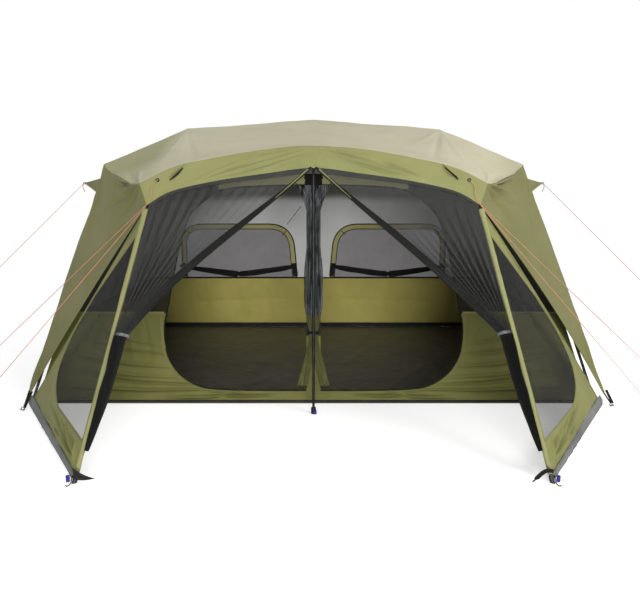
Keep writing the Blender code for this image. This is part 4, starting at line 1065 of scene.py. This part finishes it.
def make_rear_wall():
    hole = loop_evened(rounded(WINDOW_CORNERS, WINDOW_RADII), WINDOW_STEPS)
    parts = both(placed(ring(hole, wall_edge("rear"), 34, 260), on_rear))
    wall = lined("cabin_rear", parts)
    creases = []
    for side in SIDES.values():
        for k, x in enumerate((0.35, 0.72, 1.15, 1.45, 1.80)):
            a, b = on_rear(side * x, 1.32), on_rear(side * (x + 0.05 * (-1) ** k), 1.80)
            creases.append(crease(a, b, 0.010 * (-1) ** k, 0.035))
        for k, x in enumerate((0.12, 0.55, 0.95, 1.30, 1.75)):
            a, b = on_rear(side * x, 0.60), on_rear(side * (x - 0.10), 0.06)
            creases.append(crease(a, b, 0.009 * (-1) ** k, 0.030))
        creases.append(crease(on_rear(side * 0.1, 0.36), on_rear(side * 1.9, 0.30), 0.008, 0.03))
    rumple(wall, creases, swell=0.009, size=0.34, fade=0.04, seed=8.0)
    shade_top(wall)
    line_wall(wall, Vector((0.0, 1.0, 0.0)))
    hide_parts("cabin_wall_rear")
    for name, side in SIDES.items():
        make_window(name, side, hole)
    line = [on_rear(x, 0.004, 0.020) for x in np.linspace(-2.09, 2.09, 120)]
    ribbon("rear_ground_hem", line, UP, 0.046, 0.003, BLACK_CLOTH)
    line = [on_rear(-0.313 + 0.167 * t, 1.258 + 0.213 * t, 0.010) for t in np.linspace(0, 1, 9)]
    ribbon("liner_seam", line, Vector((0.8, 0, -0.6)), 0.006, 0.002, STRAP)
    line = [on_rear(x, REAR_SEAM_Z - 0.008, 0.006) for x in np.linspace(-1.92, 1.92, 120)]
    ribbon("rear_seam", line, UP, 0.016, 0.002, STRAP)


def make_window(name, side, hole):
    """The olive frame round a rear window, its piping, its two corner seams and its mesh."""
    rows = []
    for row in range(5):
        loop = closed(moved_out(hole, WINDOW_FRAME_WIDE * row / 4))
        rows.append([on_rear(side * p.x, max(p.y, SILL_Z), 0.006) for p in loop])
    window_frame = woven(f"window_frame_{name}", rows, FRAME_CLOTH)
    rumple(window_frame, swell=0.003, size=0.09, fade=0.01, seed=4.0)
    for kind, reach, radius in (("inner", 0.0, 0.0045), ("outer", WINDOW_FRAME_WIDE, 0.0065)):
        line = [on_rear(side * p.x, max(p.y, SILL_Z - 0.001), 0.008) for p in moved_out(hole, reach)]
        wire(f"window_piping_{kind}_{name}", line, radius, STRAP, cyclic=True)
    for k, (x, z, lean) in enumerate(((0.366, 1.139, -1), (1.453, 1.150, 1))):
        line = [on_rear(side * (x + lean * d), z + d, 0.010) for d in (-0.004, 0.02, 0.043)]
        ribbon(f"window_seam_{name}_{k + 1}", line, RIGHT, 0.008, 0.002, STRAP)
    centre = sum(hole, Vector()) / len(hole)
    rows = [[on_rear(side * p.x, p.y, 0.003) for p in row] for row in disc(hole, centre, 14)]
    mesh = woven(f"window_mesh_{name}", rows, WINDOW_MESH)
    rumple(mesh, swell=0.010, size=0.30, fade=0.08, seed=5.0 + side)


def make_side_walls():
    for name, side in SIDES.items():
        rows = []
        for z in np.linspace(WALL_TOP, WALL_FOOT, 45):
            depth = np.linspace(wall_y("front", z), wall_y("rear", z), 70)
            rows.append([Vector((side * side_x(z), y, z)) for y in depth])
        wall = lined(f"cabin_side_{name}", [rows])
        creases = []
        for k, y in enumerate((-0.3, 0.2, 0.7, 1.2, 1.7)):
            a, b = Vector((side * side_x(1.6), y, 1.6)), Vector((side * side_x(0.2), y + 0.1, 0.2))
            creases.append(crease(a, b, 0.012 * (-1) ** k, 0.05))
        rumple(wall, creases, swell=0.010, size=0.38, fade=0.05, seed=12.0 + side)
        shade_top(wall)
        line_wall(wall, RIGHT * side)
        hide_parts(f"cabin_wall_{name}")


class PorchPanel:
    """The flat porch side: places on it are given across from the pole line, and along it."""

    def __init__(self, name, side):
        toe = PORCH_REAR + RIGHT * PORCH_TOE_SHIFT[name]
        self.foot, top, rear = flipped((PORCH_FOOT, PORCH_TOP, toe), side)
        self.bow = PORCH_EDGE_BOW[name]
        self.along = (top - self.foot).normalized()
        self.length = (top - self.foot).length
        across = rear - self.foot
        self.across = (across - self.along * across.dot(self.along)).normalized()
        self.rear = Vector((across.dot(self.across), across.dot(self.along), 0.0))
        self.out = self.across.cross(self.along)
        if self.out.x * side < 0:
            self.out = -self.out

    def at(self, across, along, lift=0.0):
        return self.foot + self.across * across + self.along * along + self.out * lift

    def edge(self, steps=24):
        """The edge from the rear corner up to the top."""
        first, last = self.rear, Vector((0.0106, self.length - 0.030, 0.0))
        straight = (last - first).normalized()
        out = Vector((-straight.y, straight.x, 0.0))
        if out.x < 0:
            out = -out
        return [first.lerp(last, k / steps) + out * (self.bow * arch(k / steps)) for k in range(steps + 1)]


# Places on the porch side: the window's corners, and the ends of its creases
PORCH_WINDOW = (
    (0.036, 1.54), (0.60, 1.23), (0.86, 1.02), (0.985, 0.82), (0.960, 0.665), (0.86, 0.555), (0.735, 0.47),
    (0.05, 0.235),
)
PORCH_FOOT_CREASES = (
    (0.16, 0.25), (0.30, 0.29), (0.44, 0.345), (0.58, 0.39), (0.70, 0.43), (0.82, 0.475), (0.93, 0.52),
    (0.50, 0.27), (0.68, 0.335), (0.86, 0.40), (1.02, 0.455),
)
PORCH_REAR_CREASES = ((1.02, 0.86), (0.92, 1.02), (0.98, 0.70))
PORCH_MESH_CREASES = ((0.70, 0.60), (0.60, 0.80), (0.42, 0.86), (0.80, 0.74), (0.50, 0.55))
LEFT_WINDOW_NARROWER = 0.945
HEM_STEPS = 60
SLEEVE_STEPS, SLEEVE_SIDES = 150, 20


def make_porch_side(name, side):
    panel = PorchPanel(name, side)
    narrow = 1.0 if side > 0 else LEFT_WINDOW_NARROWER
    corners = [Vector((x * narrow, y, 0.0)) for x, y in PORCH_WINDOW]
    hole = loop_evened([corners[0]] + smooth_through(corners[1:7], (6,) * 5, False) + [corners[-1]], 160)
    edge = panel.edge()
    toe = Vector((0.016, 0.016 * panel.rear.y / panel.rear.x + 0.004, 0.0))
    outline = [toe, edge[0] + Vector((0.0, 0.004, 0.0)), *edge[1:], Vector((0.0106, 0.10, 0.0))]
    rows = placed(ring(hole, outline, 36, 720), panel.at)
    panel_cloth = woven(f"porch_cloth_{name}", rows, PORCH_CLOTH)
    creases = []
    for k, (x, y) in enumerate(PORCH_FOOT_CREASES):
        a, b = panel.at(x, y), panel.at(0.05, 0.07 + 0.012 * (k % 3))
        creases.append(crease(a, b, 0.024 * (-1) ** k, 0.0105, panel.along * 0.006))
    for k, (x, y) in enumerate(PORCH_REAR_CREASES):
        a, b = panel.at(x - 0.02, y - 0.02), panel.at(x + 0.26, y - 0.10)
        creases.append(crease(a, b, 0.012 * (-1) ** k, 0.014))
    rumple(panel_cloth, creases, swell=0.006, size=0.22, fade=0.02, seed=20.0 + side)
    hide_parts(f"porch_side_{name}")
    rows = placed(disc(hole, Vector((0.42, 0.88, 0.0)), 26), panel.at, 0.0005)
    mesh = woven(f"porch_window_{name}", rows, SIDE_MESH)
    creases = []
    for k, (x, y) in enumerate(PORCH_MESH_CREASES):
        creases.append(crease(panel.at(0.04, 1.50 - 0.05 * k), panel.at(x, y), 0.010 * (-1) ** k, 0.030))
    rumple(mesh, creases, swell=0.012, size=0.24, fade=0.05, seed=25.0 + side)
    line = [panel.at(p.x, p.y, 0.002) for p in closed(hole)]
    pairs = zip(closed(hole), closed(moved_out(hole, 0.02)))
    outwards = [panel.at(q.x, q.y) - panel.at(p.x, p.y) for p, q in pairs]
    ribbon(f"porch_window_tape_{name}", line, outwards, 0.014, 0.0022, OLIVE_TAPE)
    make_porch_hem(name, panel, toe, outline[1])
    line = [panel.at(p.x, p.y, 0.0015) for p in edge]
    line[0] = line[0].lerp(line[1], 0.35)
    ribbon(f"porch_edge_{name}", line, -panel.across, 0.016, 0.0025, OLIVE_TAPE)
    make_sleeve(name, panel)


def make_porch_hem(name, panel, first, last):
    """The grey strip along the ground, higher towards the rear."""
    rows = []
    for row in range(9):
        share = row / 8
        line = []
        for k in range(HEM_STEPS + 1):
            p = first.lerp(last, k / HEM_STEPS)
            rise = (0.034 + 0.044 * k / HEM_STEPS) * share
            line.append(panel.at(p.x, p.y + rise, 0.012 * math.sin(math.pi * share) + 0.004))
        rows.append(line)
    strip = woven(f"porch_hem_{name}", rows, GREY_HEM)
    rumple(strip, swell=0.008, size=0.09, fade=0.008, seed=40.0)


def make_sleeve(name, panel):
    """The porch pole's sleeve: a flat tube of cloth, gathered here and there along the pole."""
    across = FRONT_OUT.cross(panel.along).normalized()
    low, high = 0.045, panel.length - 0.030
    rings = []
    for k in range(SLEEVE_STEPS + 1):
        share = k / SLEEVE_STEPS
        t = low + (high - low) * share
        points = []
        for angle in [2 * math.pi * j / SLEEVE_SIDES for j in range(SLEEVE_SIDES)]:
            x, y = math.cos(angle), math.sin(angle)
            ruffle = 0.0016 * noise.noise(Vector((t * 14, x * 1.6, y * 1.6)))
            wide, deep = 0.0125 + 0.0045 * share + 2 * ruffle, 0.0112 + ruffle
            points.append(panel.at(0.0, t) + across * (wide * x) + FRONT_OUT * (deep * y))
        rings.append(closed(points))
    sleeve = woven(f"porch_sleeve_{name}", rings, SLEEVE_CLOTH)
    thicken(sleeve, 0.001)
    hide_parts(f"porch_side_{name}")


def accordion(stations, folds, across, deep):
    """Rows of a sheet gathered in folds. A station is its centre, half width and half depth."""
    rows = []
    total = folds * FOLD_COLUMNS
    for order, (centre, wide, thick) in enumerate(stations):
        row = []
        for j in range(total + 1):
            share = j / total
            wobble = noise.noise(Vector((share * 7.0, order * 0.22, 1.7)))
            fold = math.sin(2 * math.pi * (folds * share + 0.10 * wobble))
            depth = thick * fold * (0.86 + 0.5 * noise.noise(Vector((share * 5.0, order * 0.15, 9.1))))
            drift = noise.noise(Vector((share * 4.0, order * 0.12, 4.4))) * wide * 0.25
            row.append(centre + across * ((2 * share - 1) * wide + drift) + deep * depth)
        rows.append(row)
    return rows


def stations_between(stations, steps):
    """Stations, smoothly filled in: each a centre and two numbers."""
    flat = [Vector((*c, w, d)) for c, w, d in stations]
    line = [flat[0] * 2 - flat[1], *flat, flat[-1] * 2 - flat[-2]]
    result = []
    for k in range(len(flat) - 1):
        for step in range(steps):
            v = spline_point(*line[k:k + 4], step / steps)
            result.append((Vector(v[:3]), max(v[3], 0.004), max(v[4], 0.003)))
    result.append((Vector(flat[-1][:3]), flat[-1][3], flat[-1][4]))
    return result


# The gathered cabin door: height, middle, half width and half depth
CABIN_DOOR = (
    (1.655, 0.075, 0.060, 0.010), (1.52, 0.040, 0.030, 0.016), (1.38, 0.026, 0.022, 0.022),
    (1.20, 0.030, 0.027, 0.028), (0.95, 0.037, 0.034, 0.036), (0.74, 0.035, 0.031, 0.034),
    (0.60, 0.025, 0.021, 0.024), (0.52, 0.020, 0.016, 0.018), (0.44, 0.024, 0.020, 0.024),
    (0.32, 0.044, 0.030, 0.030), (0.20, 0.070, 0.036, 0.030), (0.115, 0.090, 0.036, 0.024),
)
DOOR_SEAM_Z, DOOR_FOOT_Z, DOOR_TIE_Z = 0.665, 0.128, 0.52
# The gathered window cover: x, height and half height
WINDOW_COVER = (
    (0.21, 0.765, 0.018), (0.36, 0.735, 0.030), (0.60, 0.700, 0.036), (0.84, 0.672, 0.034),
    (0.89, 0.668, 0.020), (0.94, 0.671, 0.033), (1.18, 0.700, 0.037), (1.40, 0.733, 0.031),
    (1.585, 0.770, 0.018),
)


def door_paint(place):
    return 0 if place.z > DOOR_SEAM_Z else 1 if place.z > DOOR_FOOT_Z else 2


def make_cabin_door(name, side):
    stations = [(on_front(side * x, z, -thick - 0.006), wide, thick) for z, x, wide, thick in CABIN_DOOR]
    rows = accordion(stations_between(stations, 9), 9, RIGHT * side, Vector((0, 1, 0)))
    door = woven(f"cabin_door_cloth_{name}", rows, [DOOR_MESH, PORCH_CLOTH, BLACK_CLOTH], gap=FINE_GAP,
                 seams=(DOOR_SEAM_Z, DOOR_FOOT_Z), paint=door_paint)
    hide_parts(f"cabin_door_{name}")
    centre = on_front(side * 0.020, DOOR_TIE_Z, -0.024)
    loop = closed(hoop(centre, RIGHT * 0.021, Vector((0.0, 0.024, 0.0)), 24))
    ribbon(f"cabin_door_tie_{name}", loop, UP, 0.022, 0.0025, STRAP)


def make_window_cover(name, side):
    stations = []
    for x, z, half in WINDOW_COVER:
        stations.append((on_rear(side * x, z, 0.028), half, 0.022 if half > 0.02 else 0.014))
    rows = accordion(stations_between(stations, 10), 7, UP, Vector((0, 1, 0)))
    cover = woven(f"window_cover_{name}", rows, BLACK_CLOTH, gap=FINE_GAP)
    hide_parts(f"rear_window_cover_{name}")
    for k, (x, inwards) in enumerate(((0.192, side), (1.568, -side))):
        line = [on_rear(side * x + inwards * 0.016 * t, 0.640 + 0.160 * t, 0.016)
                for t in np.linspace(0, 1, 9)]
        ribbon(f"cover_wrap_{name}_{k + 1}", line, RIGHT * inwards, 0.052, 0.003, BLACK_CLOTH)
    loop = closed(hoop(on_rear(side * 0.89, 0.668, 0.028), Vector((0.0, 0.020, 0.0)), UP * 0.024, 24))
    ribbon(f"cover_tie_{name}", loop, RIGHT, 0.014, 0.0025, STRAP)


FAN_STEPS, HANG_STEPS = 45, 24
CURTAIN_FOLDS = 12
CURTAIN_STEPS = CURTAIN_FOLDS * 12
BUNDLE_WIDE, BUNDLE_DEEP, BUNDLE_FOOT_Z = 0.072, 0.036, 0.150
POLE_CLEAR = 0.0140
BROW_STEPS = 2000
# The curtain's top runs along this much of the brow's edge, from its middle to the corner
CURTAIN_START, CURTAIN_SPAN = 0.0075, 0.978
ZIP_STEPS = 90
# The height of a porch door's tie, and how far its free edge bows up
DOOR_TIES = {"left": (0.733, 0.038), "right": (0.745, 0.012)}


def curtain_rows(tie_z, bow):
    """A porch door, as on the right: folds that fan from the brow to the tie, then hang down the pole."""
    along = (PORCH_TOP - PORCH_FOOT).normalized()
    inward = FRONT_OUT.cross(along)
    edge = evened(fly_brow("front"), BROW_STEPS)
    shares = [CURTAIN_START + CURTAIN_SPAN * k / CURTAIN_STEPS for k in range(CURTAIN_STEPS + 1)]
    top = [edge[round(BROW_STEPS * share)] + FRONT_DOWN * 0.0008 for share in shares]

    def pole_side(z):
        return PORCH_FOOT + along * (z / along.z) + inward * POLE_CLEAR

    def section(z, width, depth, order):
        row = []
        outer = pole_side(z)
        for k in range(CURTAIN_STEPS + 1):
            share = 1 - k / CURTAIN_STEPS
            wobble = noise.noise(Vector((share * 9.0, order * 0.25, 2.2)))
            fold = math.sin(2 * math.pi * (CURTAIN_FOLDS * share + 0.12 * wobble))
            swing = 0.35 + 0.65 * min(1.0, 6 * share, 6 * (1 - share))
            reach = depth * fold * swing * (0.85 + 0.5 * noise.noise(Vector((share * 6.0, order * 0.2, 7.0))))
            drift = width * 0.10 * noise.noise(Vector((share * 5.0, order * 0.15, 5.5)))
            row.append(outer + inward * (width * share + drift) + FRONT_OUT * (reach + 0.012))
        return row

    tie = section(tie_z, BUNDLE_WIDE, BUNDLE_DEEP, 0)
    upwards = FRONT_OUT.cross(tie[0] - top[0]).normalized()
    if upwards.z < 0:
        upwards = -upwards
    rows = []
    for step in range(FAN_STEPS + 1):
        share = step / FAN_STEPS
        pleat = 0.10 * min(1.0, 8 * share) + 0.90 * share ** 1.4
        row = []
        for k, (a, b) in enumerate(zip(top, tie)):
            across = k / CURTAIN_STEPS
            flat = pole_side(tie_z) + inward * (BUNDLE_WIDE * (1 - across))
            sag = 0.030 * math.sin(math.pi * share) * math.sin(math.pi * across)
            place = a.lerp(flat, share) + (b - flat) * pleat
            place += upwards * (bow * math.sin(math.pi * share ** 1.8) * (1 - across))
            row.append(place - FRONT_OUT * (sag * 0.5) - UP * (sag * 0.4))
        rows.append(row)
    for step in range(1, HANG_STEPS + 1):
        share = step / HANG_STEPS
        z = tie_z + (BUNDLE_FOOT_Z - tie_z) * share
        width = BUNDLE_WIDE - 0.012 * share - 0.036 * share ** 3
        rows.append(section(z, width, BUNDLE_DEEP - 0.008 * share - 0.016 * share ** 3, step))
    return rows


def make_porch_door(name, side):
    tie_z, bow = DOOR_TIES[name]
    grid = [flipped(row, side) for row in curtain_rows(tie_z, bow)]
    fan, hanging = grid[:FAN_STEPS + 1], grid[FAN_STEPS:]
    door = sewn(f"porch_door_cloth_{name}", [(0, fan), (1, hanging)], [PORCH_MESH, BUNDLE_MESH], FINE_GAP)
    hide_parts(f"porch_door_{name}")
    edge = evened([row[0] for row in fan], ZIP_STEPS)
    inward = RIGHT * side
    widths = [0.016 + 0.030 * smoothstep(0, 45, k) - 0.008 * smoothstep(70, 90, k) for k in range(len(edge))]
    ribbon(f"porch_zip_band_{name}", [p + FRONT_OUT * 0.002 for p in edge], inward, widths, 0.003, ZIP_BAND)
    ribbon(f"porch_zip_{name}", [p + FRONT_OUT * 0.003 for p in edge], inward, 0.009, 0.005, STRAP)
    seam = [p + FRONT_OUT * 0.0042 + inward * (w * 1.38) for p, w in zip(edge, widths)]
    ribbon(f"porch_zip_seam_{name}", seam, inward, 0.004, 0.0022, STRAP)
    tape = [p + FRONT_OUT * 0.0045 + inward * 0.012 for p in edge[1:19]]
    widths = [0.010 - 0.007 * k / 17 for k in range(18)]
    ribbon(f"porch_zip_tape_{name}", tape, inward, widths, 0.0022, OLIVE_TAPE)
    header = [p + FRONT_OUT * 0.0012 for p in grid[0]]
    widths = [0.044 - 0.026 * k / CURTAIN_STEPS for k in range(CURTAIN_STEPS + 1)]
    ribbon(f"porch_header_{name}", header, FRONT_DOWN, widths, 0.0020, HEADER_MESH)
    foot, top = flipped((PORCH_FOOT, PORCH_TOP), side)
    along = (top - foot).normalized()
    across = FRONT_OUT.cross(along).normalized() * side
    centre = foot.lerp(top, tie_z / PORCH_TOP.z) + across * 0.058 + FRONT_OUT * 0.004
    loop = closed(hoop(centre, across * 0.041, FRONT_OUT * 0.034, 40))
    ribbon(f"porch_tie_{name}", loop, along, 0.018, 0.003, GREY_TIE)


def make_groundsheet():
    across, along = np.linspace(-2.193, 2.193, 130), np.linspace(-0.843, 2.163, 90)
    floor = woven("floor_sheet", [[Vector((x, y, 0.0022)) for x in across] for y in along], FLOOR)
    creases = []
    for k in range(10):
        a = Vector((-1.9 + 0.42 * k, -0.5 + 0.3 * (k % 3), 0.0))
        creases.append(crease(a, a + Vector((0.5, 1.3 - 0.2 * (k % 4), 0.0)), 0.008, 0.03))
    rumple(floor, creases, swell=0.006, size=0.25, fade=0.06, seed=30.0)
    for vertex in floor.data.vertices:
        vertex.co.z = max(0.0012, vertex.co.z + 0.002)
    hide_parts("groundsheet")


def strap_between(name, first, last, width, across):
    return ribbon(name, [first.lerp(last, k / 12) for k in range(13)], across, width, 0.002, STRAP)


def peg(name, head, towards):
    """A bent steel peg lying close to the ground, its hook on the strap."""
    towards = Vector((*towards, 0.0)).normalized()
    beside = Vector((-towards.y, towards.x, 0.0))
    bends = (
        (0.012, 0.0, 0.010), (0.014, 0.006, 0.016), (0.006, 0.016, 0.018), (0.0, 0.016, 0.010),
        (0.0, 0.0, 0.0045), (0.0, -0.035, 0.0042),
    )
    wire(name, [head + beside * b + towards * t + UP * z for b, t, z in bends], 0.003, BLACK_STEEL)


# From each front wing tip to its peg: outwards and forwards
PEG_REACH = {"left": (-0.015, 0.140), "right": (0.035, 0.045)}
REAR_PEG_REACH = (-0.019, 0.030)
# The hook through a porch pole's foot loop: sideways, forwards and up
FOOT_HOOK = (
    (0.004, 0.0, 0.050), (0.008, 0.004, 0.022), (0.010, 0.010, 0.007), (0.014, 0.030, 0.0045),
    (0.022, 0.038, 0.0045), (0.030, 0.032, 0.008),
)


def fix_wing(name, side, end, out):
    """The straps, ring and peg under a wing's tip, and the strap round the leg's foot."""
    tip = flipped(wing_tips(end, name)[:1], side)[0]
    step, reach = PEG_REACH[name] if end == "front" else REAR_PEG_REACH
    ring_at = Vector((tip.x + side * step, tip.y + out * reach, 0.022))
    across = Vector((1.0, 0.15, 0.0)).normalized()
    strap_between(f"wing_strap_{end}_{name}_1", tip + UP * 0.012, ring_at, 0.022, across)
    offset = Vector((-side * 0.024, out * 0.006, 0.0))
    start = tip + offset + UP * 0.006
    strap_between(f"wing_strap_{end}_{name}_2", start, ring_at + offset * 0.4, 0.012, across)
    loop = hoop(ring_at - UP * 0.006, RIGHT * 0.013, UP * 0.013, 16)
    wire(f"wing_ring_{end}_{name}", loop, 0.0024, BLACK_STEEL, cyclic=True)
    peg(f"wing_peg_{end}_{name}", ring_at + Vector((0.0, out * 0.008, -0.018)), (-side * 0.55, out * 0.35))
    leg = Vector((side * LEG_X, LEG_Y[end], 0.030))
    ends = [leg + Vector((side * x, out * y, 0.0)) for x, y in ((-0.015, 0.026), (0.010, 0.028))]
    strap_between(f"leg_strap_{end}_{name}", *ends, 0.020, UP)


def fix_porch_foot(name, side):
    """The blue loop, the loose cloth or strap, and the hook at a porch pole's foot."""
    foot = flipped([PORCH_FOOT], side)[0]
    centre = foot + Vector((-0.034 if side < 0 else 0.030, -0.002, 0.008))
    loop = closed(hoop(centre, RIGHT * side * 0.010, Vector((0.0, 0.008, 0.0)), 16))
    ribbon(f"foot_loop_{name}", loop, UP, 0.034, 0.002, BLUE_PATCH)
    if side < 0:
        rows = []
        for t in np.linspace(0, 1, 9):
            inner = foot + Vector((0.0, -0.010, 0.092 - 0.068 * t))
            outer = foot + Vector((0.112, 0.012, 0.018))
            ruffle = Vector((0.0, -0.014 * (1 + 0.4 * math.sin(7 * t)), 0.0))
            rows.append([inner.lerp(outer, k / 10) + ruffle * math.sin(math.pi * k / 10) for k in range(11)])
        woven("foot_flap", rows, BLACK_CLOTH)
    else:
        line = []
        for t in np.linspace(0, 1, 13):
            z = 0.084 + 0.012 * math.sin(math.pi * t) - 0.050 * t * t
            line.append(foot + Vector((-0.004 - 0.105 * t, -0.014, z)))
        line += [line[-1] + Vector((0.004 * t, -0.010 * t, -0.010 * t)) for t in (0.5, 1.0)]
        ribbon("foot_strap", line, Vector((0, -0.3, -1)), 0.022, 0.003, STRAP)
    hook = [foot + Vector((side * x, -0.014 - y, z)) for x, y, z in FOOT_HOOK]
    wire(f"foot_hook_{name}", hook, 0.003, BLACK_STEEL)


def make_ground_fixings():
    """Webbing, pegs and patches where the cloth and the poles meet the ground."""
    for name, side in SIDES.items():
        for end, out in OUTWARD.items():
            fix_wing(name, side, end, out)
        fix_porch_foot(name, side)
    loop = closed(hoop(Vector((0.010, -1.080, 0.003)), RIGHT * 0.012, Vector((0.0, 0.008, 0.0)), 16))
    ribbon("centre_foot_loop", loop, UP, 0.028, 0.002, BLUE_PATCH, "centre_pole_foot")


def make_brow_details(name, side):
    """The slit vent, grommet, short cord and reinforcement on one half of the brow, and the awning's tail."""
    rows = []
    for t in np.linspace(0, 1, 13):
        x, z = 0.86 + 0.095 * t, 1.775 - 0.088 * t
        bulge = math.sin(math.pi * t)
        low = front_plane(side * x, z - 0.017 * bulge) + FRONT_OUT * (0.004 + 0.020 * bulge)
        high = front_plane(side * (x + 0.004), z + 0.0085 * bulge) + FRONT_OUT * 0.003
        rows.append([high.lerp(low, k / 5) + FRONT_OUT * (0.006 * math.sin(math.pi * k / 5))
                     for k in range(6)])
    woven(f"vent_flap_{name}", rows, FLY)
    slit = [front_plane(side * (0.872 + 0.080 * t), 1.752 - 0.082 * t) + FRONT_OUT * 0.0042
            for t in np.linspace(0, 1, 9)]
    widths = [0.004 + 0.013 * math.sin(math.pi * (k + 1) / 10) for k in range(9)]
    across = FRONT_OUT.cross((slit[-1] - slit[0]).normalized())
    ribbon(f"vent_slit_{name}", slit, across, widths, 0.0022, BLACK_CLOTH)
    centre = front_plane(side * 1.030, 1.668) + FRONT_OUT * 0.004
    loop = hoop(centre, RIGHT * 0.010, FRONT_OUT.cross(RIGHT) * 0.010, 20)
    wire(f"grommet_{name}", loop, 0.0035, BLACK_STEEL, cyclic=True)
    corner, tip = flipped((PORCH_TOP, AWNING_TIP), side)
    line = []
    for t in np.linspace(0, 1, 15):
        lift = 0.003 + 0.006 * math.sin(math.pi * t)
        sway = side * 0.012 * math.sin(2 * math.pi * t)
        line.append(centre.lerp(corner + FRONT_OUT * 0.006, t) + FRONT_OUT * lift + RIGHT * sway)
    wire(f"brow_cord_{name}", line, 0.0018, GUY)
    top, near, far = [front_plane(side * x, z) + FRONT_OUT * 0.0045
                      for x, z in ((0.035, 1.862), (0.012, 1.757), (0.105, 1.757))]
    rows = [[top.lerp(near.lerp(far, k / 6), t) for k in range(7)] for t in np.linspace(0, 1, 9)]
    woven(f"brow_patch_{name}", rows, FLY)
    line = [tip + Vector((side * (0.004 + 0.010 * math.sin(4 * t)), -0.004, -0.085 * t))
            for t in np.linspace(0, 1, 13)]
    wire(f"awning_tail_{name}", line, 0.0026, RED_CORD)
    loop = hoop(tip, RIGHT * side * 0.010, UP * 0.010, 16)
    wire(f"awning_ring_{name}", loop, 0.0022, BLACK_STEEL, cyclic=True)


def make_awning_gusset(name, side, end, out):
    """Cloth that closes the corner between a side awning and a wing."""
    edge = FLY_HALVES[name].edges[f"flank_{end}"][0]
    stop = next(k for k, length in enumerate(run_along(edge)) if length >= 0.36)
    start, tip = edge[0], AWNING_TIP + Vector((-0.002, out * 0.001, -0.003))
    rows = []
    for row, point in enumerate(evened(edge[:stop + 1], 20)):
        middle, pull = start.lerp(point, 0.5), 0.05 * row / 20
        line = [point.lerp(tip, k / 16) for k in range(17)]
        rows.append(flipped([q + (middle - q) * (pull * arch(k / 16)) for k, q in enumerate(line)], side))
    woven(f"awning_gusset_{end}_{name}", rows, FLY_SIDE_SHADED)
    ribbon(f"gusset_hem_{end}_{name}", rows[-1], UP, 0.014, 0.003, FLY)


def refinish():
    """Gives the hard parts that stay their worn metal and plastic."""
    finishes = {
        "leg_upper": BLACK_STEEL, "leg_lower": BLACK_STEEL, "leg_button": BRIGHT, "roof_rod": ROD,
        "roof_hub": PLASTIC, "porch_pole": ROD, "centre_pole": BLACK_STEEL, "guy_runner": PLASTIC,
        "guy_peg": BRIGHT, "porch_zip_slider": PLASTIC,
    }
    for start, material in finishes.items():
        for name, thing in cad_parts.items():
            if name.startswith(start):
                for place in thing.material_slots:
                    place.material = material


make_front_wall()
make_rear_wall()
make_side_walls()
for make in (make_porch_side, make_cabin_door, make_window_cover, make_porch_door):
    for name, side in SIDES.items():
        make(name, side)
make_groundsheet()
make_ground_fixings()
for name, side in SIDES.items():
    make_brow_details(name, side)
for name, side in SIDES.items():
    for end, out in OUTWARD.items():
        make_awning_gusset(name, side, end, out)
refinish()
